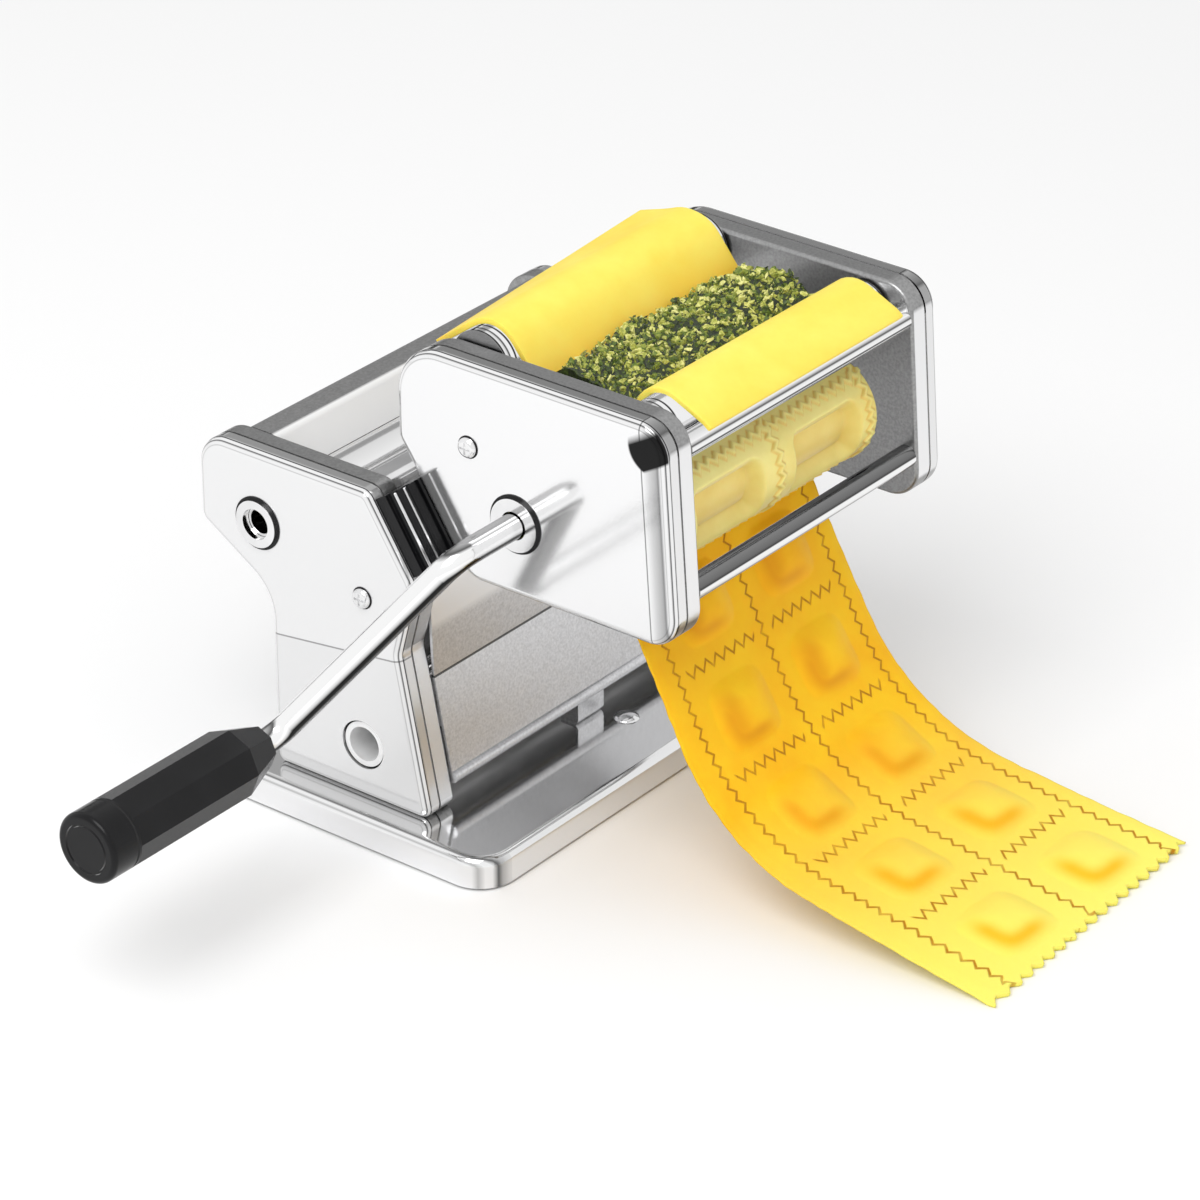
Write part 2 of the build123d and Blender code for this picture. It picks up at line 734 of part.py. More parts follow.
def grip_cap():
    low = grip_start_x - grip_length
    high = low + grip_cap_length
    cap = rod(grip_y, grip_z, grip_radius, low, high)
    cap = fillet(edges_at(cap, low), 2.0)
    groove_edge = high - grip_groove
    groove_floor = grip_radius - grip_groove
    groove = tube(grip_y, grip_z, grip_radius + 1, groove_floor, groove_edge - grip_groove, groove_edge)
    disc = grip_radius - grip_rim
    dish = tube(grip_y, grip_z, disc, disc - grip_groove, low, low + grip_groove)
    bore_end = high - grip_cap_length / 2 - fit_gap
    return cap - groove - dish - rod(grip_y, grip_z, grip_axle + run_gap, bore_end, high)


# ---------------------------------------------------------------- dough and filling
def nip_side(keep_rear, margin):
    """Large Y-Z face on one side of the plane midway between the moulding rollers."""
    along = (cos(radians(mould_tilt)), -sin(radians(mould_tilt)))
    up = (-along[1], along[0])
    sign = 1 if keep_rear else -1
    middle = ((hub_y + twin_y) / 2 + sign * margin * along[0], (hub_z + twin_z) / 2 + sign * margin * along[1])
    reach = 200.0
    corners = [(middle[0] + reach * up[0], middle[1] + reach * up[1]),
               (middle[0] - reach * up[0], middle[1] - reach * up[1])]
    corners += [(corners[1][0] + sign * reach * along[0], corners[1][1] + sign * reach * along[1]),
                (corners[0][0] + sign * reach * along[0], corners[0][1] + sign * reach * along[1])]
    return make_face(Polyline(*corners, close=True).edges())


def rear_band(grow):
    return wrapped_sheet((rear_feed_y, rear_feed_z), rear_feed_radius, (hub_y, hub_z), ridge_radius, -1,
                         rear_tail_angle, 180.0 - mould_tilt, grow)


def front_band(grow):
    return wrapped_sheet((front_feed_y, front_feed_z), front_feed_radius, (twin_y, twin_z), ridge_radius, 1,
                         front_tail_angle, -mould_tilt, grow)


def dough_sheet(face):
    return slab(face, sheet_middle - sheet_width / 2, sheet_middle + sheet_width / 2)


def filling():
    """Heap of filling in the trough between the two dough sheets."""
    top_z = front_feed_z + filling_crown
    mid_y = (rear_feed_y + front_feed_y) / 2
    nip = ((hub_y + twin_y) / 2, (hub_z + twin_z) / 2 + filling_tip)
    rear_bank = (rear_feed_y - rear_feed_radius - filling_bank, top_z - filling_slump)
    front_bank = (front_feed_y + front_feed_radius + filling_bank, top_z - filling_slump)
    trough = make_face(Polyline((rear_feed_y, front_feed_z), rear_bank, (mid_y, top_z), front_bank,
                                (front_feed_y, front_feed_z), nip, close=True).edges())
    room = trough - rear_band(dough_gap) - front_band(dough_gap)
    rear_feed = (rear_feed_y, rear_feed_z, rear_feed_radius)
    front_feed = (front_feed_y, front_feed_z, front_feed_radius)
    for y, z, r in ((hub_y, hub_z, ridge_radius), (twin_y, twin_z, ridge_radius), rear_feed, front_feed):
        room -= Pos(y, z) * Circle(r + dough_gap)
    heart = sorted(room.faces(), key=lambda f: f.area)[-1]
    half = sheet_width / 2 - filling_margin
    heap = slab(Sketch(children=[heart]), sheet_middle - half, sheet_middle + half)
    spacing = 2 * (half - filling_lump_radius) / (filling_lumps - 1)
    lump_z = top_z + filling_lump_height - filling_lump_radius
    bank_z = top_z - filling_slump
    above_bank = Pos(sheet_middle, mid_y, bank_z + filling_lump_radius) * Box(
        2 * half, 4 * half, 2 * filling_lump_radius)
    for k in range(filling_lumps):
        side = filling_lump_sway if k % 2 else -filling_lump_sway
        x = sheet_middle - half + filling_lump_radius + k * spacing
        lump = Pos(x, mid_y + side, lump_z) * Sphere(filling_lump_radius)
        heap += lump & above_bank
    return heap


def strip_path():
    """Centre line of the finished strip, from under the rollers down to the table."""
    tilt = radians(mould_tilt)
    start_y = (hub_y + twin_y) / 2 - strip_start_drop * sin(tilt)
    start_z = (hub_z + twin_z) / 2 - strip_start_drop * cos(tilt)
    end_z = dough / 2 + strip_lift
    steep, shallow = tan(radians(strip_slope)), tan(radians(strip_rest_slope))
    bend_y = (end_z - shallow * strip_end_y - start_z + steep * start_y) / (steep - shallow)
    bend_z = start_z + steep * (bend_y - start_y)
    points = [(0, start_y, start_z), (0, bend_y, bend_z), (0, strip_end_y, end_z)]
    return FilletPolyline(*points, radius=[strip_bend])


def strip_width(ease):
    return dough_width + (strip_end_width - dough_width) * ease


def pillow(place):
    """Raised pillow of filling, its walls leaning in, standing on the strip's middle surface."""
    outline = RectangleRounded(pillow_width, pillow_span, pillow_corner)
    return place * extrude(outline, dough / 2 + pillow_height, taper=pillow_slope)


def ravioli_strip():
    """Filled strip that leaves the rollers and runs out on the table, widening and drifting a little."""
    path = strip_path()
    sections = []
    for k in range(strip_sections + 1):
        share = k / strip_sections
        point, heading = path @ share, path % share
        ease = share * share
        middle = mould_middle + strip_drift * ease
        place = Plane(origin=(middle, point.Y, point.Z), x_dir=(1, 0, 0), z_dir=heading)
        sections.append(place * Rectangle(strip_width(ease), dough))
    strip = loft(sections, ruled=True)
    from_end = pillow_pitch / 2
    while from_end < path.length - pillow_span / 2:
        share = 1 - from_end / path.length
        point, heading = path @ share, path % share
        ease = share * share
        spacing = (strip_width(ease) - 2 * pillow_margin) / pillow_columns
        for column in range(pillow_columns):
            x = mould_middle + strip_drift * ease + (column - (pillow_columns - 1) / 2) * spacing
            up = (0, heading.Z, -heading.Y)
            strip += pillow(Plane(origin=(x, point.Y, point.Z), x_dir=(1, 0, 0), z_dir=up))
        from_end += pillow_pitch
    return strip


def mirrored_pair(shape):
    return Compound(children=[shape, other_side(shape)])


def save_body():
    save(base_shell(), "base_shell")
    save(base_mat(), "base_mat")
    save(body_cover(True), "side_cover_left")
    save(other_side(body_cover(False)), "side_cover_right")
    save(body_frame(), "side_frame_left")
    save(other_side(body_frame()), "side_frame_right")
    save(rear_feed_plate(), "rear_feed_plate")
    save(rear_apron(), "rear_apron")
    save(front_apron(), "front_apron")
    save(front_guard(), "front_guard")
    save(scraper(drive_y, drive_z, -90.0), "rear_scraper")
    save(scraper(adjust_y, adjust_z, -125.0), "front_scraper")
    save(tie_rods(), "tie_rods")
    save(clamp_tube(), "clamp_tube")
    save(mirrored_pair(cover_screw(screw_y, screw_z, half_body, body_inner)), "cover_screws")
    save(mirrored_pair(bush(drive_y, drive_z)), "drive_roller_bushes")
    save(socket_ring(), "crank_socket_ring")
    save(dock_rail(), "dock_rail_left")
    save(other_side(dock_rail()), "dock_rail_right")


def save_rollers():
    line_angle = 180.0 - roller_tilt
    save(drive_roller(), "drive_roller")
    save(roller_gear(drive_y, drive_z, line_angle), "drive_gear")
    save(adjust_roller(), "adjust_roller")
    save(roller_gear(adjust_y, adjust_z, -roller_tilt + 180 / gear_teeth), "adjust_gear")
    save(mirrored_pair(bush(adjust_y, adjust_z)), "adjust_roller_bushes")
    save(regulator_shaft(), "regulator_shaft")
    save(regulator_knob(), "regulator_knob")


def save_attachment():
    line_angle = 180.0 - mould_tilt
    save(att_cover(True), "attachment_cover_left")
    save(other_side(att_cover(False)), "attachment_cover_right")
    save(att_frame(), "attachment_frame_left")
    save(other_side(att_frame()), "attachment_frame_right")
    save(dock_bracket(), "dock_bracket_left")
    save(other_side(dock_bracket()), "dock_bracket_right")
    save(hub_ring(), "hub_ring")
    save(rod(upper_bar_y, upper_bar_z, bar_radius, -att_inner, att_inner), "upper_front_bar")
    save(rod(lower_bar_y, lower_bar_z, bar_radius, -att_inner, att_inner), "lower_front_bar")
    save(back_bar(), "back_bar")
    save(mirrored_pair(cover_screw(back_bar_y, back_bar_z, half_att, att_inner)), "attachment_screws")
    save(mould_roller(hub_y, hub_z, line_angle, mould_phase, True), "rear_mould_roller")
    save(mould_roller(twin_y, twin_z, -mould_tilt, -mould_phase, False), "front_mould_roller")
    save(mould_gear(hub_y, hub_z, line_angle), "rear_mould_gear")
    save(mould_gear(twin_y, twin_z, -mould_tilt + 180 / mould_teeth), "front_mould_gear")
    save(feed_roller(rear_feed_y, rear_feed_z, rear_feed_radius), "rear_feed_roller")
    save(feed_roller(front_feed_y, front_feed_z, front_feed_radius), "front_feed_roller")


def save_crank_and_dough():
    save(crank_rod(), "crank_rod")
    save(crank_grip(), "crank_grip")
    save(grip_cap(), "grip_cap")
    save(dough_sheet(rear_band(0.0) & nip_side(True, dough_gap)), "rear_dough_sheet")
    save(dough_sheet(front_band(0.0) & nip_side(False, dough_gap)), "front_dough_sheet")
    save(filling(), "filling")
    save(ravioli_strip(), "ravioli_strip")


save_body()
save_rollers()
save_attachment()
save_crank_and_dough()
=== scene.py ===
"""Looks of a hand-cranked ravioli maker: finishes, moulding rollers, dough, filling and the studio."""
import json
import math
import random

import bmesh
import bpy
from mathutils import Matrix, Vector, noise


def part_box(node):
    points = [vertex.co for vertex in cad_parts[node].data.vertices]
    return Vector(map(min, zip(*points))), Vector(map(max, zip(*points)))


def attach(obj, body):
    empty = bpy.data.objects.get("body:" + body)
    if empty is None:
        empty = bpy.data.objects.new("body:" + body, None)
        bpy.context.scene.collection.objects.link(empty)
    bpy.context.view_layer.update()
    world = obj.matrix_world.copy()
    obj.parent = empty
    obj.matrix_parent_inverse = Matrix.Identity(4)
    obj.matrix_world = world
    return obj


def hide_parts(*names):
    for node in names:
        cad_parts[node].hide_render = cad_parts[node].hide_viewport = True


bl_info = {
    "name": "Ravioli Maker Looks",
    "version": (1, 0, 0),
    "blender": (4, 5, 0),
    "location": "View3D > Sidebar > Ravioli Maker",
    "description": "Dresses the frame of a hand-cranked ravioli maker",
    "category": "Object",
}

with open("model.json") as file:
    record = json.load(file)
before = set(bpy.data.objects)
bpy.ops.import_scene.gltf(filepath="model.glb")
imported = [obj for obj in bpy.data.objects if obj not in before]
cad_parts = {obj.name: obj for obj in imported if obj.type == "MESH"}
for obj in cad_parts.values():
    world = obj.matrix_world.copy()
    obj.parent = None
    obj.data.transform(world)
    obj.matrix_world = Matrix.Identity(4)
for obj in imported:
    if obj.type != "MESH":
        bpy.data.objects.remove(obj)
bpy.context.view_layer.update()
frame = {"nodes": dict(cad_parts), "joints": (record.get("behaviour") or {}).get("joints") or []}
MM = 0.001


# ---------------------------------------------------------------- places on the frame
def axle_of(joint_name):
    """Y and Z of a roller axis, from its joint."""
    for joint in frame["joints"]:
        if joint["name"] == joint_name:
            return Vector((joint["pos_m"][1], joint["pos_m"][2]))
    raise RuntimeError("no joint named " + joint_name)


REAR_MOULD = axle_of("rear_mould_spin")
FRONT_MOULD = axle_of("front_mould_spin")
REAR_FEED = axle_of("rear_feed_spin")
FRONT_FEED = axle_of("front_feed_spin")
NIP = (REAR_MOULD + FRONT_MOULD) / 2
NIP_LINE = (REAR_MOULD - FRONT_MOULD).normalized()
NIP_ANGLE = math.degrees(math.atan2(NIP_LINE.y, NIP_LINE.x))


def radius_of(node, axle):
    """Radius of a roller node about its axis."""
    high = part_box(node)[1]
    return max(high[1] - axle.x, high[2] - axle.y)


REAR_FEED_RADIUS = radius_of("rear_feed_roller", REAR_FEED)
FRONT_FEED_RADIUS = radius_of("front_feed_roller", FRONT_FEED)
MOULD_RADIUS = (REAR_MOULD - FRONT_MOULD).length / 2 - 0.1 * MM
BODY_SIDE = 100.0 * MM
ATTACHMENT_SIDE = 83.5 * MM


# ---------------------------------------------------------------- settings
class MachineFinish(bpy.types.PropertyGroup):
    """Finishes of the machine's own pieces."""

    steel: bpy.props.FloatVectorProperty(
        name="Polished steel", description="Colour of the polished covers", subtype="COLOR", size=4,
        default=(0.86, 0.86, 0.865, 1.0))
    # Dark tone of the painted reflection bands on the rounded rims of polished steel.
    painted_reflection_dark: bpy.props.FloatVectorProperty(
        name="Smoked band", description="Darker tone that gathers where polished sheet is rounded over",
        subtype="COLOR", size=4, default=(0.02, 0.02, 0.022, 1.0))
    satin: bpy.props.FloatVectorProperty(
        name="Satin steel", description="Colour of the plain sheet between the covers", subtype="COLOR",
        size=4, default=(0.55, 0.55, 0.56, 1.0))
    black: bpy.props.FloatVectorProperty(
        name="Black plastic", description="Colour of the grip, rails and brackets", subtype="COLOR", size=4,
        default=(0.0035, 0.0035, 0.004, 1.0))
    cream: bpy.props.FloatVectorProperty(
        name="Roller plastic", description="Colour of the moulding rollers", subtype="COLOR", size=4,
        default=(1.0, 0.88, 0.31, 1.0))


class MouldShape(bpy.types.PropertyGroup):
    """Pockets and zigzag cutters of the moulding rollers."""

    middle: bpy.props.FloatProperty(
        name="Middle", description="X of the middle of the barrels", default=-6 * MM, unit="LENGTH")
    half_length: bpy.props.FloatProperty(
        name="Half length", description="Half the length of a barrel", default=60.5 * MM, unit="LENGTH")
    pocket_width: bpy.props.FloatProperty(
        name="Pocket width", description="Length of a pocket along the roller", default=40 * MM, unit="LENGTH")
    pocket_span: bpy.props.FloatProperty(
        name="Pocket span", description="Length of a pocket around the roller", default=29 * MM, unit="LENGTH")
    pocket_depth: bpy.props.FloatProperty(
        name="Pocket depth", description="Depth of a pocket below the barrel", default=7.0 * MM, unit="LENGTH")
    pocket_corner: bpy.props.FloatProperty(
        name="Pocket corner", description="Rounding of a pocket's corners", default=5 * MM, unit="LENGTH")
    first_pocket: bpy.props.FloatProperty(
        name="First pocket", description="Angle from the line between the rollers to the first pocket",
        default=math.radians(43.0), unit="ROTATION")
    cutter_height: bpy.props.FloatProperty(
        name="Cutter height", description="Height of the zigzag cutters over the barrel", default=1.0 * MM,
        unit="LENGTH")
    cutter_width: bpy.props.FloatProperty(
        name="Cutter width", description="Width of a zigzag cutter", default=2.6 * MM, unit="LENGTH")
    cutter_pitch: bpy.props.FloatProperty(
        name="Cutter pitch", description="Length of one zigzag tooth", default=5.2 * MM, unit="LENGTH")
    cutter_swing: bpy.props.FloatProperty(
        name="Cutter swing", description="How far a zigzag swings to each side", default=1.5 * MM,
        unit="LENGTH")


class DoughShape(bpy.types.PropertyGroup):
    """Dough sheets and the filled strip."""

    thickness: bpy.props.FloatProperty(
        name="Sheet thickness", description="Thickness of a dough sheet", default=2.3 * MM, unit="LENGTH")
    gap: bpy.props.FloatProperty(
        name="Lay gap", description="Room between a roller and the dough on it", default=0.35 * MM,
        unit="LENGTH")
    width: bpy.props.FloatProperty(
        name="Sheet width", description="Width of a dough sheet", default=118 * MM, unit="LENGTH")
    sheet_middle: bpy.props.FloatProperty(
        name="Sheet middle", description="X of the middle of the dough sheets", default=3 * MM, unit="LENGTH")
    sheet_color: bpy.props.FloatVectorProperty(
        name="Sheet colour", description="Colour of fresh egg dough", subtype="COLOR", size=4,
        default=(1.0, 0.86, 0.14, 1.0))
    strip_color: bpy.props.FloatVectorProperty(
        name="Strip colour", description="Colour of the filled strip", subtype="COLOR", size=4,
        default=(1.0, 0.60, 0.012, 1.0))
    # Painted light: the strip is drawn paler toward its flat free end, which lies in open light.
    lit_end_color: bpy.props.FloatVectorProperty(
        name="End colour", description="Paler colour toward the strip's free end", subtype="COLOR", size=4,
        default=(1.0, 0.88, 0.16, 1.0))
    # Painted shade in the zigzag cuts.
    cut_shade_color: bpy.props.FloatVectorProperty(
        name="Cut colour", description="Colour in the zigzag cuts", subtype="COLOR", size=4,
        default=(0.50, 0.22, 0.004, 1.0))
    slope: bpy.props.FloatProperty(
        name="Strip slope", description="Fall of the strip below the rollers", default=math.radians(62.8),
        unit="ROTATION")
    rest_slope: bpy.props.FloatProperty(
        name="Rest slope", description="Fall of the strip near the table", default=math.radians(12.9),
        unit="ROTATION")
    bend: bpy.props.FloatProperty(
        name="Strip bend", description="Radius of the bend between the two slopes", default=90 * MM,
        unit="LENGTH")
    start_drop: bpy.props.FloatProperty(
        name="Start drop", description="How far below the nip the strip is whole", default=8.7 * MM,
        unit="LENGTH")
    end_front: bpy.props.FloatProperty(
        name="Free end", description="Y of the strip's free end", default=-253 * MM, unit="LENGTH")
    end_width: bpy.props.FloatProperty(
        name="End width", description="Width of the strip at its free end", default=134 * MM, unit="LENGTH")
    drift: bpy.props.FloatProperty(
        name="Drift", description="Sideways drift of the free end", default=18 * MM, unit="LENGTH")
    pitch: bpy.props.FloatProperty(
        name="Pillow pitch", description="Length of one pillow with its border", default=43.5 * MM,
        unit="LENGTH")
    trimmed: bpy.props.FloatProperty(
        name="Trimmed", description="How much the free end cuts off the last row", default=2.5 * MM,
        unit="LENGTH")
    pillow_width: bpy.props.FloatProperty(
        name="Pillow width", description="Width of a pillow across the strip", default=31 * MM, unit="LENGTH")
    pillow_span: bpy.props.FloatProperty(
        name="Pillow span", description="Length of a pillow along the strip", default=26 * MM, unit="LENGTH")
    pillow_height: bpy.props.FloatProperty(
        name="Pillow height", description="Height of a pillow over the strip", default=5.0 * MM, unit="LENGTH")


class FillingShape(bpy.types.PropertyGroup):
    """Chopped herb filling."""

    bits: bpy.props.IntProperty(
        name="Bits", description="Number of loose bits on the heap", default=3700, min=100, max=6000)
    bit_size: bpy.props.FloatProperty(
        name="Bit size", description="Mean length of a bit", default=4.0 * MM, unit="LENGTH")
    leaf: bpy.props.FloatVectorProperty(
        name="Leaf", description="Colour of the green bits", subtype="COLOR", size=4,
        default=(0.10, 0.16, 0.012, 1.0))
    crumb: bpy.props.FloatVectorProperty(
        name="Crumb", description="Colour of the pale bits", subtype="COLOR", size=4,
        default=(0.82, 0.80, 0.30, 1.0))


class StudioLook(bpy.types.PropertyGroup):
    """Floor, lights and camera."""

    focal_pixels: bpy.props.FloatProperty(
        name="Focal length", description="Focal length in picture widths", default=5000 / 1200)
    camera_place: bpy.props.FloatVectorProperty(
        name="Camera place", description="Where the camera stands", size=3, unit="LENGTH",
        default=(-1.32877, -1.06822, 0.97755))
    camera_turn: bpy.props.FloatProperty(
        name="Camera turn", description="Camera azimuth", default=math.radians(-52.1), unit="ROTATION")
    camera_rise: bpy.props.FloatProperty(
        name="Camera rise", description="Camera elevation", default=math.radians(28.4), unit="ROTATION")
    sky: bpy.props.FloatProperty(name="Sky", description="Strength of the room light", default=0.80)
    key: bpy.props.FloatProperty(
        name="Key", description="Power of the soft key light", default=26.0, unit="POWER")


def settings(name):
    """Settings group of the scene."""
    return getattr(bpy.context.scene, name)


# ---------------------------------------------------------------- node helpers
def new_group(name, inputs, outputs):
    """Shader node group from its sockets; returns its tree, input node and output node."""
    tree = bpy.data.node_groups.new(name, "ShaderNodeTree")
    for label, kind, default in inputs:
        socket = tree.interface.new_socket(label, in_out="INPUT", socket_type=kind)
        if default is not None:
            socket.default_value = default
    for label, kind in outputs:
        tree.interface.new_socket(label, in_out="OUTPUT", socket_type=kind)
    return tree, tree.nodes.new("NodeGroupInput"), tree.nodes.new("NodeGroupOutput")


def math_node(tree, operation, first, second=None, clamp=False):
    """Math node whose inputs are sockets or numbers; returns its output socket."""
    node = tree.nodes.new("ShaderNodeMath")
    node.operation = operation
    node.use_clamp = clamp
    for index, value in enumerate((first, second)):
        if value is None:
            continue
        if isinstance(value, (int, float)):
            node.inputs[index].default_value = value
        else:
            tree.links.new(value, node.inputs[index])
    return node.outputs[0]


def object_coordinates(tree):
    """Places in metres, which every piece shares with the frame."""
    return tree.nodes.new("ShaderNodeTexCoord").outputs["Object"]


def noise_value(tree, vector, scale, detail=3.0):
    """Soft noise from 0 to 1."""
    node = tree.nodes.new("ShaderNodeTexNoise")
    node.inputs["Scale"].default_value = scale
    node.inputs["Detail"].default_value = detail
    tree.links.new(vector, node.inputs["Vector"])
    return node.outputs["Fac"]


def mix_colors(tree, factor, first, second, blend="MIX"):
    """Colour mix whose factor and colours are sockets or values."""
    node = tree.nodes.new("ShaderNodeMix")
    node.data_type = "RGBA"
    node.blend_type = blend
    for index, value in ((0, factor), (6, first), (7, second)):
        if hasattr(value, "is_linked"):
            tree.links.new(value, node.inputs[index])
        else:
            node.inputs[index].default_value = value
    return node.outputs[2]


def spread(tree, value, low, high, new_low, new_high):
    """Value carried from one range to another and held at its ends."""
    node = tree.nodes.new("ShaderNodeMapRange")
    for label, number in (("From Min", low), ("From Max", high), ("To Min", new_low), ("To Max", new_high)):
        node.inputs[label].default_value = number
    tree.links.new(value, node.inputs["Value"])
    return node.outputs["Result"]


def product(tree, first, *others):
    """Product of masks and numbers."""
    for other in others:
        first = math_node(tree, "MULTIPLY", first, other)
    return first


def near(tree, value, place, reach):
    """1 where a value lies within a reach of a place, else 0."""
    mask = math_node(tree, "COMPARE", value, place)
    mask.node.inputs[2].default_value = reach
    return mask


def split_axes(tree, vector):
    """X, Y and Z of a vector, as sockets."""
    node = tree.nodes.new("ShaderNodeSeparateXYZ")
    tree.links.new(vector, node.inputs[0])
    return node.outputs


def facing(tree):
    """X, Y and Z of the direction that a face looks in."""
    return split_axes(tree, tree.nodes.new("ShaderNodeNewGeometry").outputs["Normal"])


def stored_shade(tree):
    """Shade kept on a piece's vertices."""
    node = tree.nodes.new("ShaderNodeAttribute")
    node.attribute_name = "shade"
    return node.outputs["Fac"]


def fine_grain_group():
    """Varies roughness and height finely, as brushing or moulding grain does."""
    tree, entry, leave = new_group(
        "fine_grain",
        [("Vector", "NodeSocketVector", None), ("Fineness", "NodeSocketFloat", 600.0),
         ("Base", "NodeSocketFloat", 0.3), ("Spread", "NodeSocketFloat", 0.1)],
        [("Roughness", "NodeSocketFloat"), ("Height", "NodeSocketFloat")])
    grain = tree.nodes.new("ShaderNodeTexNoise")
    grain.inputs["Detail"].default_value = 4.0
    tree.links.new(entry.outputs["Vector"], grain.inputs["Vector"])
    tree.links.new(entry.outputs["Fineness"], grain.inputs["Scale"])
    swing = math_node(tree, "MULTIPLY", math_node(tree, "SUBTRACT", grain.outputs["Fac"], 0.5),
                      entry.outputs["Spread"])
    tree.links.new(math_node(tree, "ADD", entry.outputs["Base"], swing, clamp=True), leave.inputs["Roughness"])
    tree.links.new(grain.outputs["Fac"], leave.inputs["Height"])
    return tree


def mottle_group():
    """Mixes two colours in soft patches with a finer speckle."""
    tree, entry, leave = new_group(
        "mottle",
        [("Vector", "NodeSocketVector", None), ("Scale", "NodeSocketFloat", 40.0),
         ("Colour A", "NodeSocketColor", (1, 1, 1, 1)), ("Colour B", "NodeSocketColor", (0, 0, 0, 1))],
        [("Colour", "NodeSocketColor")])
    patches = tree.nodes.new("ShaderNodeTexNoise")
    patches.inputs["Detail"].default_value = 6.0
    patches.inputs["Roughness"].default_value = 0.6
    tree.links.new(entry.outputs["Vector"], patches.inputs["Vector"])
    tree.links.new(entry.outputs["Scale"], patches.inputs["Scale"])
    factor = spread(tree, patches.outputs["Fac"], 0.35, 0.68, 0.0, 1.0)
    color = mix_colors(tree, factor, entry.outputs["Colour A"], entry.outputs["Colour B"])
    tree.links.new(color, leave.inputs["Colour"])
    return tree


def zigzag_group():
    """Mask of one zigzag line: 1 on the line, falling to 0 beside it."""
    tree, entry, leave = new_group(
        "zigzag",
        [("Across", "NodeSocketFloat", 0.0), ("Along", "NodeSocketFloat", 0.0),
         ("Place", "NodeSocketFloat", 0.0), ("Pitch", "NodeSocketFloat", 5.0),
         ("Swing", "NodeSocketFloat", 1.2), ("Width", "NodeSocketFloat", 0.6)],
        [("Line", "NodeSocketFloat")])
    half_pitch = math_node(tree, "MULTIPLY", entry.outputs["Pitch"], 0.5)
    wave = math_node(tree, "PINGPONG", entry.outputs["Along"], half_pitch)
    wave = math_node(tree, "SUBTRACT", math_node(tree, "DIVIDE", wave, half_pitch), 0.5)
    wave = math_node(tree, "MULTIPLY", wave, math_node(tree, "MULTIPLY", entry.outputs["Swing"], 2.0))
    offset = math_node(tree, "SUBTRACT", entry.outputs["Across"], entry.outputs["Place"])
    away = math_node(tree, "ABSOLUTE", math_node(tree, "SUBTRACT", offset, wave))
    fall = math_node(tree, "DIVIDE", away, entry.outputs["Width"])
    line = math_node(tree, "SUBTRACT", 1.6, fall, clamp=True)
    tree.links.new(line, leave.inputs["Line"])
    return tree


SHARED = {}


def shared(name):
    """Node group by name, built once."""
    if name not in SHARED:
        makers = {"fine_grain": fine_grain_group, "mottle": mottle_group, "zigzag": zigzag_group}
        SHARED[name] = makers[name]()
    return SHARED[name]


def place_group(tree, name, **values):
    """Puts a shared group in a material; values are numbers, colours or sockets."""
    node = tree.nodes.new("ShaderNodeGroup")
    node.node_tree = shared(name)
    for label, value in values.items():
        socket = node.inputs[label.replace("_", " ")]
        if hasattr(value, "is_linked"):
            tree.links.new(value, socket)
        else:
            socket.default_value = value
    return node


def new_material(name, metallic=0.0, roughness=0.4, **sockets):
    """Principled material; returns it, its tree and its shader."""
    material = bpy.data.materials.new(name)
    material.use_nodes = True
    tree = material.node_tree
    shader = tree.nodes["Principled BSDF"]
    shader.inputs["Metallic"].default_value = metallic
    shader.inputs["Roughness"].default_value = roughness
    for label, value in sockets.items():
        shader.inputs[label.replace("_", " ")].default_value = value
    return material, tree, shader


def add_bump(tree, shader, height, distance, strength=1.0):
    """Bump from a height, for the shader's normal."""
    bump = tree.nodes.new("ShaderNodeBump")
    bump.inputs["Distance"].default_value = distance
    bump.inputs["Strength"].default_value = strength
    tree.links.new(height, bump.inputs["Height"])
    tree.links.new(bump.outputs["Normal"], shader.inputs["Normal"])


def mottled(tree, scale, first, second):
    """Two colours in soft patches, on Object coordinates."""
    node = place_group(tree, "mottle", Vector=object_coordinates(tree), Scale=scale, Colour_A=first,
                       Colour_B=second)
    return node.outputs["Colour"]


def dress(tree, shader, color, grain):
    """Links a colour, and fine grain given as its fineness, roughness, spread and depth."""
    tree.links.new(color, shader.inputs["Base Color"])
    fineness, base, spread_by, depth = grain
    node = place_group(tree, "fine_grain", Vector=object_coordinates(tree), Fineness=fineness, Base=base,
                       Spread=spread_by)
    tree.links.new(node.outputs["Roughness"], shader.inputs["Roughness"])
    add_bump(tree, shader, node.outputs["Height"], depth)


# ---------------------------------------------------------------- finishes
def gray(value):
    """Opaque grey."""
    return (value, value, value, 1.0)


def scaled(color, red, green, blue):
    """Colour with its three channels scaled."""
    return tuple(share * part for share, part in zip((red, green, blue), color)) + (1.0,)


def tone_ramp(tree, source, stops):
    """Colour ramp of greys and colours over a value; stops are places with a grey or a colour."""
    ramp = tree.nodes.new("ShaderNodeValToRGB")
    points = ramp.color_ramp.elements
    colors = [(place, gray(tone) if isinstance(tone, float) else tone) for place, tone in stops]
    points[0].position, points[0].color = colors[0]
    points[1].position, points[1].color = colors[-1]
    for place, color in colors[1:-1]:
        points.new(place).color = color
    tree.links.new(source, ramp.inputs["Fac"])
    return ramp.outputs["Color"]


def side_facing(tree):
    """1 on faces that look squarely to a side, falling to 0 round a cover's rim."""
    return math_node(tree, "ABSOLUTE", facing(tree)[0])


def front_mask(tree):
    """1 on faces that look squarely forward."""
    return spread(tree, facing(tree)[1], -0.955, -0.985, 0.0, 1.0)


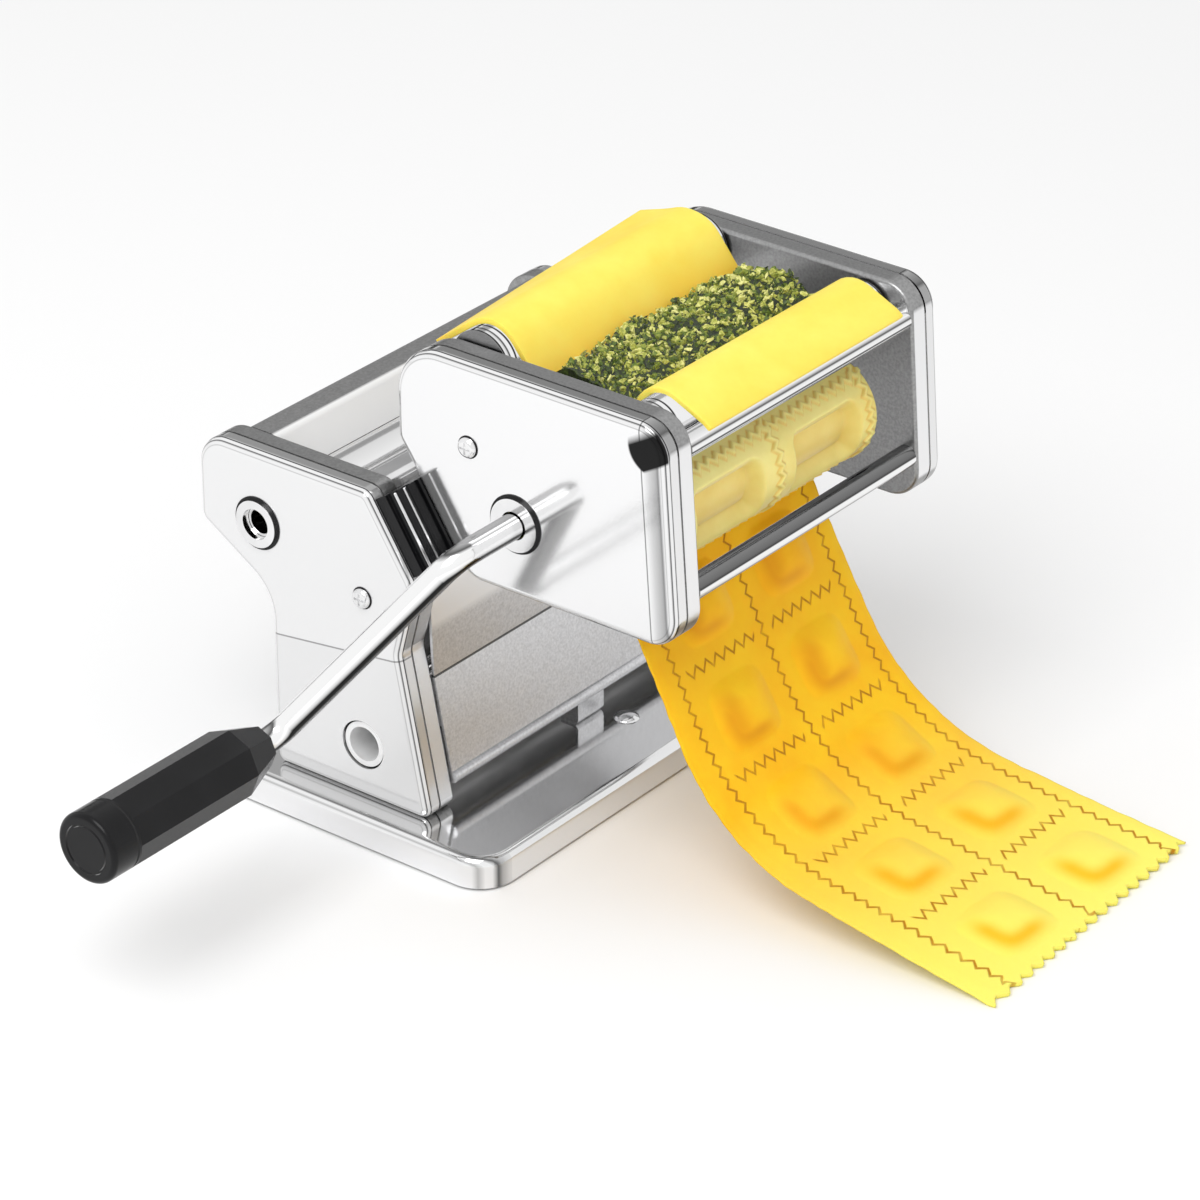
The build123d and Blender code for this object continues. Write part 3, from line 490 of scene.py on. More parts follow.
COVER_LINE = 75.4 * MM
COVER_LINE_FALL = 0.1285
APRON_SEAM = 66 * MM
# Front edge, reach and corner of the painted reflections on the attachment covers, in millimetres.
FRONT_EDGE = (-126.9, 200.0)
BAND_REACH = 12.5
CORNER_START = (-116.6, 180.5)
CORNER_REFLECTIONS = (
    (0.0, 0.95), (0.22, 0.90), (0.30, 0.30), (0.38, 0.50), (0.62, 0.72), (0.80, 0.95), (0.86, 1.0),
    (0.875, 0.30), (0.90, 0.30), (0.92, 1.0), (1.0, 1.0))
# Painted reflection bands of the polished rods, over how far a side looks up.
CRANK_REFLECTIONS = (
    (0.0, 0.30), (0.24, 0.25), (0.30, 0.02), (0.40, 0.02), (0.46, 0.60), (0.55, 0.92), (0.86, 0.92),
    (0.92, 0.10), (1.0, 0.50))
UPPER_REFLECTIONS = (
    (0.0, 0.40), (0.22, 0.75), (0.34, 0.75), (0.38, 0.03), (0.43, 0.03), (0.47, 0.90), (0.62, 0.92),
    (0.68, 0.05), (0.73, 0.40), (0.82, 0.90), (1.0, 0.70))
LOWER_REFLECTIONS = (
    (0.0, 0.03), (0.22, 0.10), (0.34, 0.90), (0.56, 0.92), (0.61, 0.04), (0.70, 0.14), (1.0, 0.22))


def panel_shade(tree):
    """Painted shade on a housing cover: a faint dark line where it is pressed across its lower part, with a
    slightly darker painted reflection below it.
    """
    place = split_axes(tree, object_coordinates(tree))
    rise = math_node(tree, "ADD", place[2], math_node(tree, "MULTIPLY", place[1], COVER_LINE_FALL))
    below = spread(tree, rise, COVER_LINE - 0.2 * MM, COVER_LINE + 0.2 * MM, 1.0, 0.0)
    # Painted reflection: slightly darker below the pressed line.
    dull = mix_colors(tree, below, gray(0.92), gray(0.88))
    # Painted shade in the pressed line itself.
    return mix_colors(tree, near(tree, rise, COVER_LINE, 0.35 * MM), dull, gray(0.40))


def line_distance(tree, place, start, along_y, along_z):
    """Distance in millimetres along a direction in Y and Z from a start given in millimetres."""
    share_y = math_node(tree, "MULTIPLY", math_node(tree, "SUBTRACT", place[1], start[0] * MM), along_y)
    share_z = math_node(tree, "MULTIPLY", math_node(tree, "SUBTRACT", place[2], start[1] * MM), along_z)
    return math_node(tree, "DIVIDE", math_node(tree, "ADD", share_y, share_z), MM)


def corner_shade(tree):
    """Painted reflections on an attachment cover: soft bands down its front and a black painted reflection at
    its top front corner.
    """
    place = split_axes(tree, object_coordinates(tree))
    inward = line_distance(tree, place, FRONT_EDGE, 1.0, -0.0743)
    bands = tone_ramp(tree, math_node(tree, "DIVIDE", inward, BAND_REACH), CORNER_REFLECTIONS)
    wide = line_distance(tree, place, CORNER_START, -0.863, 0.5)
    tall = line_distance(tree, place, CORNER_START, 0.5, 0.863)
    bow = math_node(tree, "POWER", math_node(tree, "SUBTRACT", tall, 7.0), 2.0)
    bowed = math_node(tree, "SUBTRACT", wide, math_node(tree, "MULTIPLY", bow, 0.05))
    inside = product(tree, spread(tree, bowed, -0.9, -0.1, 0.0, 1.0),
                     spread(tree, tall, -0.4, 0.6, 0.0, 1.0), spread(tree, tall, 11.0, 14.0, 1.0, 0.0),
                     spread(tree, side_facing(tree), 0.30, 0.45, 0.0, 1.0))
    # Near-black painted reflection in the bowed patch at the top front corner.
    return mix_colors(tree, inside, bands, gray(0.015))


def polished_cover(name, shade=None, bold=True, metallic=1.0):
    """Bright pressed steel whose rounded rim carries painted reflections: dark and light bands set by the way
    a face looks.
    """
    finish = settings("machine_finish")
    material, tree, shader = new_material(name, metallic=metallic, roughness=0.09)
    painted_reflection_dark, steel = tuple(finish.painted_reflection_dark), tuple(finish.steel)
    # Stops of the painted reflection bands, over how squarely a face looks to a side.
    if bold:
        stops = ((0.0, 0.40), (0.17, 0.44), (0.22, painted_reflection_dark), (0.30, painted_reflection_dark), (0.36, steel), (0.60, steel),
                 (0.68, painted_reflection_dark), (0.73, 0.35), (0.80, steel), (0.93, steel), (0.955, 0.55), (0.985, steel))
    else:
        stops = ((0.0, 0.78), (0.30, 0.45), (0.42, 0.12), (0.56, steel), (0.70, steel), (0.82, 0.5),
                 (0.90, steel), (1.0, steel))
    color = tone_ramp(tree, side_facing(tree), stops)
    if bold:
        color = mix_colors(tree, front_mask(tree), color, steel)
    if shade is not None:
        color = mix_colors(tree, 1.0, color, shade(tree), "MULTIPLY")
    dress(tree, shader, color, (900.0, 0.10, 0.05, 0.004 * MM))
    return material


def reflection_banded_steel(name, stops):
    """Polished rod with painted reflections: the dark and light bands of a bright room, by how far a side
    looks up.
    """
    material, tree, shader = new_material(name, metallic=1.0, roughness=0.14)
    up = spread(tree, facing(tree)[2], -1.0, 1.0, 0.0, 1.0)
    dress(tree, shader, tone_ramp(tree, up, stops), (1100.0, 0.14, 0.06, 0.003 * MM))
    return material


def mottled_finish(name, scale, first, second, grain, **sockets):
    """Plain finish in two close tones, with fine grain."""
    material, tree, shader = new_material(name, **sockets)
    dress(tree, shader, mottled(tree, scale, first, second), grain)
    return material


def bright_steel():
    """Polished steel for rings, screws and gears."""
    steel = settings("machine_finish").steel
    return mottled_finish("bright_steel", 25.0, steel, scaled(steel, 0.82, 0.82, 0.82),
                          (1100.0, 0.13, 0.06, 0.003 * MM), metallic=1.0, roughness=0.12)


def satin_sheet():
    """Plain grey sheet with a fine stipple."""
    satin = settings("machine_finish").satin
    return mottled_finish("satin_sheet", 900.0, satin, scaled(satin, 1.25, 1.25, 1.25),
                          (1500.0, 0.34, 0.12, 0.01 * MM), metallic=1.0, roughness=0.34)


def pale_tube():
    """Pale dull metal inside the clamp hole."""
    return mottled_finish("pale_tube", 60.0, gray(0.92), gray(0.80), (900.0, 0.35, 0.08, 0.006 * MM),
                          metallic=0.2, roughness=0.35)


def black_gloss():
    """Moulded black plastic with a deep gloss."""
    black = settings("machine_finish").black
    return mottled_finish("black_gloss", 60.0, black, scaled(black, 1.8, 1.8, 1.8),
                          (700.0, 0.24, 0.10, 0.006 * MM), roughness=0.24, Specular_IOR_Level=0.22)


def mat_rubber():
    """Dull black rubber under the base."""
    return mottled_finish("mat_rubber", 80.0, gray(0.03), gray(0.055), (900.0, 0.7, 0.15, 0.03 * MM),
                          roughness=0.7)


def nylon():
    """Pale plastic of the bushes and scrapers."""
    return mottled_finish("nylon", 50.0, (0.78, 0.76, 0.68, 1.0), (0.68, 0.66, 0.58, 1.0),
                          (700.0, 0.45, 0.12, 0.01 * MM), roughness=0.45)


def feed_sheet():
    """Rear feed plate: grey on its flat rear strip, bright below it."""
    material, tree, shader = new_material("feed_sheet", roughness=0.42)
    depth = split_axes(tree, object_coordinates(tree))[1]
    rear = spread(tree, depth, 55.2 * MM, 56.4 * MM, 0.0, 1.0)
    color = mix_colors(tree, rear, gray(0.88), mottled(tree, 900.0, gray(0.13), gray(0.20)))
    dress(tree, shader, color, (900.0, 0.42, 0.10, 0.006 * MM))
    return material


def apron_sheet():
    """Front apron: satin in its lower part, bright above as a painted reflection, with a seam across."""
    finish = settings("machine_finish")
    material, tree, shader = new_material("apron_sheet", metallic=1.0, roughness=0.34)
    height = split_axes(tree, object_coordinates(tree))[2]
    painted_bright_top = spread(tree, height, 84 * MM, 88 * MM, 0.0, 1.0)
    stipple = mottled(tree, 900.0, finish.satin, scaled(finish.satin, 1.3, 1.3, 1.3))
    color = mix_colors(tree, painted_bright_top, stipple, finish.steel)
    color = mix_colors(tree, near(tree, height, APRON_SEAM, 0.5 * MM), color, gray(0.12))
    dress(tree, shader, color, (1500.0, 0.32, 0.12, 0.01 * MM))
    return material


def frame_shade_and_highlight():
    """Grey of the inner frames, kept dark as painted shade, with a painted highlight of bright steel on their
    front edges.
    """
    material, tree, shader = new_material("frame_shade_and_highlight", metallic=1.0, roughness=0.34)
    color = mix_colors(tree, front_mask(tree), mottled(tree, 900.0, gray(0.27), gray(0.38)),
                       settings("machine_finish").steel)
    dress(tree, shader, color, (1500.0, 0.32, 0.12, 0.01 * MM))
    return material


def ring_shaded_steel():
    """Feed rollers, with painted shade in place of fine turned grooves near their ends."""
    material, tree, shader = new_material("ring_shaded_steel", metallic=1.0, roughness=0.12)
    out = math_node(tree, "ABSOLUTE", split_axes(tree, object_coordinates(tree))[0])
    share = spread(tree, out, 58 * MM, 68 * MM, 0.0, 1.0)
    steel = tuple(settings("machine_finish").steel)
    # Dark rings of painted shade where turned grooves would be, darker toward the very end.
    rings = tone_ramp(tree, share, ((0.0, steel), (0.24, steel), (0.27, 0.03), (0.33, 0.03), (0.36, steel),
                                    (0.52, steel), (0.55, 0.10), (0.60, 0.10), (0.63, 0.60), (0.74, steel),
                                    (0.77, 0.02), (0.83, 0.02), (0.86, steel), (1.0, 0.30)))
    dress(tree, shader, rings, (1100.0, 0.13, 0.06, 0.003 * MM))
    return material


def cream_plastic(name="cream_plastic", shaded=True):
    """Cream moulded plastic, with painted shade inside pockets and beside the cutters."""
    cream = settings("machine_finish").cream
    material, tree, shader = new_material(name, roughness=0.42, Subsurface_Weight=0.15,
                                          Subsurface_Scale=0.004)
    color = mottled(tree, 35.0, cream, scaled(cream, 0.88, 0.82, 0.66))
    if shaded:
        # Painted shade in deep orange, from the shade stored on the vertices.
        color = mix_colors(tree, stored_shade(tree), color, (0.80, 0.42, 0.03, 1.0))
    dress(tree, shader, color, (800.0, 0.42, 0.12, 0.012 * MM))
    return material


def floury_bump(tree, shader, cuts=None):
    """Soft dimples and fine flour grain of rolled dough, sunk along its cuts."""
    coordinates = object_coordinates(tree)
    dimples = math_node(tree, "MULTIPLY", noise_value(tree, coordinates, 90.0, 4.0), 0.8)
    flour = math_node(tree, "MULTIPLY", noise_value(tree, coordinates, 1300.0, 3.0), 0.16)
    height = math_node(tree, "ADD", dimples, flour)
    if cuts is not None:
        height = math_node(tree, "SUBTRACT", height, math_node(tree, "MULTIPLY", cuts, 2.4))
    add_bump(tree, shader, height, 0.22 * MM, 0.7)


def sheet_dough():
    """Smooth egg dough of the two sheets, with painted shade on their steep runs down into the trough."""
    fresh = settings("dough_shape").sheet_color
    material, tree, shader = new_material("sheet_dough", roughness=0.55, Subsurface_Weight=0.2,
                                          Subsurface_Scale=0.003)
    tone = mottled(tree, 28.0, fresh, scaled(fresh, 0.97, 0.86, 0.55))
    # Painted shade in deep orange, from the shade stored on the vertices.
    color = mix_colors(tree, stored_shade(tree), tone, (0.86, 0.47, 0.02, 1.0))
    tree.links.new(color, shader.inputs["Base Color"])
    floury_bump(tree, shader)
    return material


STRIP_LINES = (0.085, 0.515, 0.930)


def strip_cuts(tree, across, along, width):
    """Mask of the strip's zigzag cuts, from places across and along it in millimetres."""
    dough = settings("dough_shape")
    pitch = dough.pitch / MM
    from_end = math_node(tree, "SUBTRACT", (strip_length() + dough.trimmed) / MM, along)
    row = math_node(tree, "MODULO", math_node(tree, "ADD", from_end, pitch / 2), pitch)
    row = math_node(tree, "SUBTRACT", row, pitch / 2)
    cross = place_group(tree, "zigzag", Across=row, Along=across, Place=0.0, Pitch=6.4, Swing=1.9,
                        Width=0.6).outputs["Line"]
    mask = None
    for place in STRIP_LINES:
        line = place_group(tree, "zigzag", Across=across, Along=along, Place=place * width, Pitch=5.4,
                           Swing=1.3, Width=0.55).outputs["Line"]
        mask = line if mask is None else math_node(tree, "MAXIMUM", mask, line)
        away = math_node(tree, "ABSOLUTE", math_node(tree, "SUBTRACT", across, place * width))
        cross = product(tree, cross, spread(tree, away, 5.0, 6.0, 0.0, 1.0))
    cross = product(tree, cross, math_node(tree, "GREATER_THAN", across, STRIP_LINES[0] * width),
                    math_node(tree, "LESS_THAN", across, STRIP_LINES[-1] * width))
    return math_node(tree, "MAXIMUM", mask, cross)


def strip_dough():
    """Dough of the filled strip: zigzag cuts follow its own UV map."""
    dough = settings("dough_shape")
    material, tree, shader = new_material("strip_dough", roughness=0.6, Subsurface_Weight=0.2,
                                          Subsurface_Scale=0.003, Specular_IOR_Level=0.2)
    uv = tree.nodes.new("ShaderNodeUVMap")
    uv.uv_map = "strip"
    place = split_axes(tree, uv.outputs[0])
    mean_width = 0.5 * (dough.width + dough.end_width) / MM
    across = math_node(tree, "MULTIPLY", place[0], mean_width)
    along = math_node(tree, "MULTIPLY", place[1], strip_length() / MM)
    mask = strip_cuts(tree, across, along, mean_width)
    # Painted shade in the zigzag cuts, stronger in some places than in others.
    cut_shade_noise = noise_value(tree, object_coordinates(tree), 160.0, 2.0)
    cut = math_node(tree, "MULTIPLY", mask, spread(tree, cut_shade_noise, 0.3, 0.55, 0.55, 1.0))
    tone = mottled(tree, 32.0, dough.strip_color, scaled(dough.strip_color, 0.95, 0.80, 0.5))
    # Painted light toward the flat free end; the flanks' painted shade pales with it.
    painted_light_share = spread(tree, place[1], 0.50, 1.0, 0.0, 1.0)
    ground = mix_colors(tree, painted_light_share, tone, dough.lit_end_color)
    # Painted shade colour for the pillows' flanks.
    shade_flank = mix_colors(tree, painted_light_share, (0.80, 0.36, 0.006, 1.0), (1.0, 0.54, 0.01, 1.0))
    painted_shade_color = mix_colors(tree, stored_shade(tree), ground, shade_flank)
    tree.links.new(mix_colors(tree, cut, painted_shade_color, dough.cut_shade_color), shader.inputs["Base Color"])
    floury_bump(tree, shader, mask)
    return material


def herb_filling():
    """Chopped herbs and cheese, toned bit by bit; the lowest tones are near black, painted shade for the
    heap's core and sunk bits.
    """
    look = settings("filling_shape")
    material, tree, shader = new_material("herb_filling", roughness=0.5)
    speckle = noise_value(tree, object_coordinates(tree), 900.0, 3.0)
    shifted = math_node(tree, "ADD", stored_shade(tree), spread(tree, speckle, 0.3, 0.7, -0.16, 0.16))
    color = tone_ramp(tree, shifted, (
        (0.0, (0.008, 0.012, 0.002, 1.0)), (0.22, (0.03, 0.05, 0.005, 1.0)), (0.42, look.leaf),
        (0.66, (0.30, 0.34, 0.045, 1.0)), (0.84, (0.55, 0.56, 0.12, 1.0)), (1.0, look.crumb)))
    tree.links.new(color, shader.inputs["Base Color"])
    add_bump(tree, shader, speckle, 0.3 * MM)
    return material


# ---------------------------------------------------------------- mesh helpers
def new_object(mesh_bmesh, name, material):
    """Object at the origin from a bmesh, which is then freed."""
    mesh = bpy.data.meshes.new(name)
    mesh_bmesh.to_mesh(mesh)
    mesh_bmesh.free()
    piece = bpy.data.objects.new(name, mesh)
    bpy.context.scene.collection.objects.link(piece)
    mesh.materials.append(material)
    return piece


def finish_piece(mesh_bmesh, name, material, body, smooth=True, replaced=(), mirrored=True):
    """Piece that rides on a body and may replace nodes; polished metal may leave it out."""
    piece = new_object(mesh_bmesh, name, material)
    for polygon in piece.data.polygons:
        polygon.use_smooth = smooth
    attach(piece, body)
    piece.visible_glossy = mirrored
    if replaced:
        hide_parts(*replaced)
    return piece


def set_material(nodes, material):
    """Gives CAD nodes a finish."""
    for name in nodes:
        materials = frame["nodes"][name].data.materials
        if not materials:
            materials.append(material)
        for index in range(len(materials)):
            materials[index] = material


def node_middle(node):
    """Y and Z of the middle of a node."""
    low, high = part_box(node)
    return Vector((0.5 * (low[1] + high[1]), 0.5 * (low[2] + high[2])))


def triangle_wave(value, pitch):
    """Runs from -1 to 1 and back once a pitch."""
    share = (value / pitch) % 1.0
    return 4 * abs(share - 0.5) - 1


def smooth_step(low, high, value):
    """0 at low, 1 at high, with a soft start and end."""
    share = min(1.0, max(0.0, (value - low) / (high - low)))
    return share * share * (3 - 2 * share)


def rounded_box_distance(x, y, half_x, half_y, corner):
    """Distance outside a rounded rectangle, negative inside."""
    dx = abs(x) - half_x + corner
    dy = abs(y) - half_y + corner
    return math.hypot(max(dx, 0.0), max(dy, 0.0)) + min(max(dx, dy), 0.0) - corner


# ---------------------------------------------------------------- moulding rollers
ROLLER_RINGS = 236
ROLLER_SIDES = 264
POCKET_WALL = 2.4 * MM
END_RING = 4 * MM


def mould_surface(x, turn, half_length, shape):
    """Height over the barrel and shade at a place on a moulding roller."""
    pitch = 2 * math.pi / 3
    pocket_turn = (turn - shape.first_pocket + pitch / 2) % pitch - pitch / 2
    around = pocket_turn * MOULD_RADIUS
    cell = half_length / 2
    pocket_x = abs(x) - cell
    away = rounded_box_distance(pocket_x, around, shape.pocket_width / 2, shape.pocket_span / 2,
                                shape.pocket_corner)
    depth = smooth_step(POCKET_WALL / 2, -POCKET_WALL, away)
    height = -shape.pocket_depth * depth
    rib_around = (math.pi / 3 - abs(pocket_turn)) * MOULD_RADIUS
    swing = shape.cutter_swing
    ring_wave = swing * triangle_wave(turn * MOULD_RADIUS, shape.cutter_pitch)
    rib_wave = swing * triangle_wave(x, shape.cutter_pitch)
    side = 1 if pocket_turn > 0 else -1
    ring_places = (0.0, half_length - END_RING, -half_length + END_RING)
    nearest = min(abs(x - place - ring_wave) for place in ring_places)
    nearest = min(nearest, abs(side * rib_around - rib_wave))
    half = shape.cutter_width / 2
    cutter = smooth_step(half + 0.35 * MM, half - 0.35 * MM, nearest)
    height = max(height, 0.0) if cutter > 0.5 else height
    height += shape.cutter_height * cutter
    beside = smooth_step(half + 1.3 * MM, half + 0.4 * MM, nearest) * (1 - cutter)
    edge = math.exp(-((away / (1.6 * MM)) ** 2))
    # Painted shade beside the cutters and down in the pockets.
    return height, min(1.0, 0.55 * beside + 0.30 * depth * (1 - 0.4 * edge))


def moulding_roller(name, axle, start, sign, material, body):
    """Barrel of one moulding roller, from a cylinder cut into rings and pushed in and out."""
    shape = settings("mould_shape")
    low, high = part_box(name)
    half_length = shape.half_length
    barrel_radius = MOULD_RADIUS - shape.cutter_height
    shell = bmesh.new()
    bmesh.ops.create_cone(shell, cap_ends=True, cap_tris=False, segments=ROLLER_SIDES, radius1=barrel_radius,
                          radius2=barrel_radius, depth=2 * half_length)
    long_edges = [e for e in shell.edges if abs(e.verts[0].co.z - e.verts[1].co.z) > half_length]
    bmesh.ops.subdivide_edges(shell, edges=long_edges, cuts=ROLLER_RINGS, use_grid_fill=True)
    shade_layer = shell.verts.layers.float.new("shade")
    for vert in shell.verts:
        x = vert.co.z
        turn = math.atan2(vert.co.y, vert.co.x)
        height, shade = mould_surface(x, sign * turn, half_length, shape)
        if abs(x) > half_length - 0.1 * MM:
            height = -0.6 * MM
        radius = barrel_radius + height
        angle = start + turn
        vert.co = Vector((shape.middle + x, axle.x + radius * math.cos(angle),
                          axle.y + radius * math.sin(angle)))
        vert[shade_layer] = shade
    axle_radius = 6.9 * MM
    spindle = bmesh.ops.create_cone(shell, cap_ends=True, cap_tris=False, segments=40, radius1=axle_radius,
                                    radius2=axle_radius, depth=high[0] - low[0])
    turn_to_x = Matrix.Rotation(math.radians(90), 4, "Y")
    shift = Matrix.Translation(((low[0] + high[0]) / 2, axle.x, axle.y))
    bmesh.ops.transform(shell, matrix=shift @ turn_to_x, verts=spindle["verts"])
    bmesh.ops.recalc_face_normals(shell, faces=shell.faces)
    return finish_piece(shell, name + "_zigzag", material, body, replaced=(name,),
                        mirrored=False)


# ---------------------------------------------------------------- dough sheets
def outer_tangent_angle(first, first_radius, second, second_radius, side):
    """Angle of the normal of the outer tangent that two circles share, in radians."""
    line = second - first
    return math.atan2(line.y, line.x) + side * math.acos((first_radius - second_radius) / line.length)


def arc_points(centre, radius, start, end, step):
    """Points on an arc from one angle to another, about a step apart."""
    count = max(2, int(abs(end - start) * radius / step))
    angles = [start + (end - start) * k / count for k in range(count + 1)]
    return [Vector((centre.x + radius * math.cos(a), centre.y + radius * math.sin(a))) for a in angles]


def line_points(first, last, step):
    """Points strictly between two places, about a step apart."""
    count = max(1, int((last - first).length / step))
    return [first.lerp(last, k / count) for k in range(1, count)]


def sheet_path(feed, feed_radius, mould, side, tail, end, lead):
    """Middle line of a dough sheet: its free lead, over its feed roller and onto its moulding roller."""
    dough = settings("dough_shape")
    lift = dough.gap + dough.thickness / 2 + 0.05 * MM
    first, second = feed_radius + lift, MOULD_RADIUS + lift
    step = 2.2 * MM
    normal = outer_tangent_angle(feed, first, mould, second, side) % (2 * math.pi)
    over = arc_points(feed, first, tail, normal, step)
    onto = arc_points(mould, second, normal, end, step)
    path = []
    for first_point, last_point in zip(lead, lead[1:] + [over[0]]):
        path += [first_point] + line_points(first_point, last_point, step)
    return path + over + line_points(over[-1], onto[0], step) + onto


SHEET_ROWS = 44


def dough_sheet(name, path, material, replaced, seed, low_x, lift_start=3, lift=0.0, lift_far=0.0):
    """Sheet of dough: its middle line extruded along the roller in steps, then thickened.

    Its free end rises from the path's point lift_start on, by lift, and by lift_far more at the far side.
    """
    dough = settings("dough_shape")
    sheet = bmesh.new()
    low, high = low_x - dough.sheet_middle, dough.width / 2
    top = max(p.y for p in path)
    still = path[lift_start].x
    shade_layer = sheet.verts.layers.float.new("shade")
    first = [sheet.verts.new((low, p.x, p.y)) for p in path]
    edges = [sheet.edges.new(pair) for pair in zip(first, first[1:])]
    for _ in range(SHEET_ROWS):
        grown = bmesh.ops.extrude_edge_only(sheet, edges=edges)["geom"]
        verts = [g for g in grown if isinstance(g, bmesh.types.BMVert)]
        bmesh.ops.translate(sheet, vec=((high - low) / SHEET_ROWS, 0, 0), verts=verts)
        front = set(verts)
        edges = [g for g in grown if isinstance(g, bmesh.types.BMEdge) and all(v in front for v in g.verts)]
    for vert in sheet.verts:
        rim = min(1.0, abs(vert.co.x) / high)
        ripple = noise.noise(Vector((seed, 60 * vert.co.y, 60 * vert.co.z)))
        vert.co.x += (0.7 * MM) * ripple * rim ** 6
        swell = noise.noise(Vector((seed + 30 * vert.co.x, 30 * vert.co.y, 30 * vert.co.z)))
        vert.co.z += (0.12 * MM) * swell
        out = (vert.co.y - still) / (path[0].x - still)
        out = min(1.0, max(0.0, out)) ** 1.4 if vert.co.z > top - 17 * MM else 0.0
        vert.co.z += out * (lift + lift_far * (vert.co.x - low) / (high - low))
        vert.co.x += dough.sheet_middle
        # Painted shade: the sheet darkens as it runs down into the trough.
        vert[shade_layer] = smooth_step(top - 3 * MM, top - 26 * MM, vert.co.z)
    bmesh.ops.recalc_face_normals(sheet, faces=sheet.faces)
    piece = finish_piece(sheet, name, material, "attachment", replaced=replaced, mirrored=False)
    solid = piece.modifiers.new("thickness", "SOLIDIFY")
    solid.thickness = dough.thickness
    solid.offset = 0.0
    soft = piece.modifiers.new("soft rim", "BEVEL")
    soft.width = 0.7 * MM
    soft.segments = 3
    soft.limit_method = "ANGLE"
    soft.angle_limit = math.radians(50)
    return piece


# ---------------------------------------------------------------- filled strip
STRIP_ROWS = 300
STRIP_COLUMNS = 158
TABLE_GAP = 0.35 * MM
ROLLER_GAP = 0.3 * MM
END_TOOTH = 1.8 * MM
END_TOOTH_PITCH = 7.5 * MM
END_SKEW = 5.0 * MM
BORDER_TRIM = 3.0 * MM
EDGE_WAVER = 0.5 * MM


def strip_corner():
    """Start, bend corner and free end of the strip's middle line, in Y and Z."""
    dough = settings("dough_shape")
    fall = Vector((NIP_LINE.y, -NIP_LINE.x))
    if fall.y > 0:
        fall = -fall
    start = NIP + fall * dough.start_drop
    end = Vector((dough.end_front, dough.thickness / 2 + TABLE_GAP))
    steep, shallow = math.tan(dough.slope), math.tan(dough.rest_slope)
    corner_y = (end.y - shallow * end.x - start.y + steep * start.x) / (steep - shallow)
    return start, Vector((corner_y, start.y + steep * (corner_y - start.x))), end


def strip_segments():
    """Lengths of the strip's steep run, bend and shallow run, with their points."""
    dough = settings("dough_shape")
    start, corner, end = strip_corner()
    turn = dough.slope - dough.rest_slope
    setback = dough.bend * math.tan(turn / 2)
    steep = (corner - start).length - setback
    shallow = (end - corner).length - setback
    return steep, dough.bend * turn, shallow


def strip_length():
    """Length of the strip along its middle line."""
    return sum(strip_segments())


def strip_place(distance):
    """Point and upward normal of the strip's middle line at a distance from the rollers."""
    dough = settings("dough_shape")
    start = strip_corner()[0]
    steep, bend, _ = strip_segments()
    down = Vector((-math.cos(dough.slope), -math.sin(dough.slope)))
    if distance <= steep:
        return start + down * distance, Vector((down.y, -down.x))
    first = start + down * steep
    centre = first + Vector((down.y, -down.x)) * dough.bend
    if distance <= steep + bend:
        angle = (distance - steep) / dough.bend
    else:
        angle = bend / dough.bend
    fall = dough.slope - angle
    heading = Vector((-math.cos(fall), -math.sin(fall)))
    normal = Vector((heading.y, -heading.x))
    place = centre - normal * dough.bend
    if distance > steep + bend:
        place = place + heading * (distance - steep - bend)
    return place, normal


def pillow_height(across, along, length):
    """Share of full height and painted shade of the pillow at a place on the strip."""
    dough = settings("dough_shape")
    width = 0.5 * (dough.width + dough.end_width)
    from_end = length + dough.trimmed - along
    row = (from_end % dough.pitch) - dough.pitch / 2
    best, shade = 0.0, 0.0
    for left, right in zip(STRIP_LINES, STRIP_LINES[1:]):
        middle = 0.5 * (left + right) * width
        u = (across * width - middle) / (0.5 * dough.pillow_width)
        v = -row / (0.5 * dough.pillow_span)
        away = (u ** 4 + v ** 4) ** 0.25
        best = max(best, max(0.0, 1 - (away / 1.12) ** 2.4) ** 1.25)
        # Painted shade: a ring round each pillow, strongest toward the free end and the -X side, and a broad
        # patch on the -X flank where the strip is steep.
        rim = math.exp(-(((away - 0.74) / 0.21) ** 2))
        out = max(0.2, math.hypot(u, v))
        shade_flank = math.exp(-(((away - 0.62) / 0.30) ** 2)) * smooth_step(0.25, 0.9, -u / out)
        steep = smooth_step(0.62, 0.40, along / length)
        shade = max(shade, rim * smooth_step(-0.35, 1.0, (v - u) / out), 0.9 * shade_flank * steep)
    return best, shade


def clear_of_rollers(point):
    """Place moved out of the circles that the moulding rollers' cutters sweep."""
    for axle in (REAR_MOULD, FRONT_MOULD):
        away = point - axle
        if away.length < MOULD_RADIUS + ROLLER_GAP:
            point = axle + away.normalized() * (MOULD_RADIUS + ROLLER_GAP)
    return point


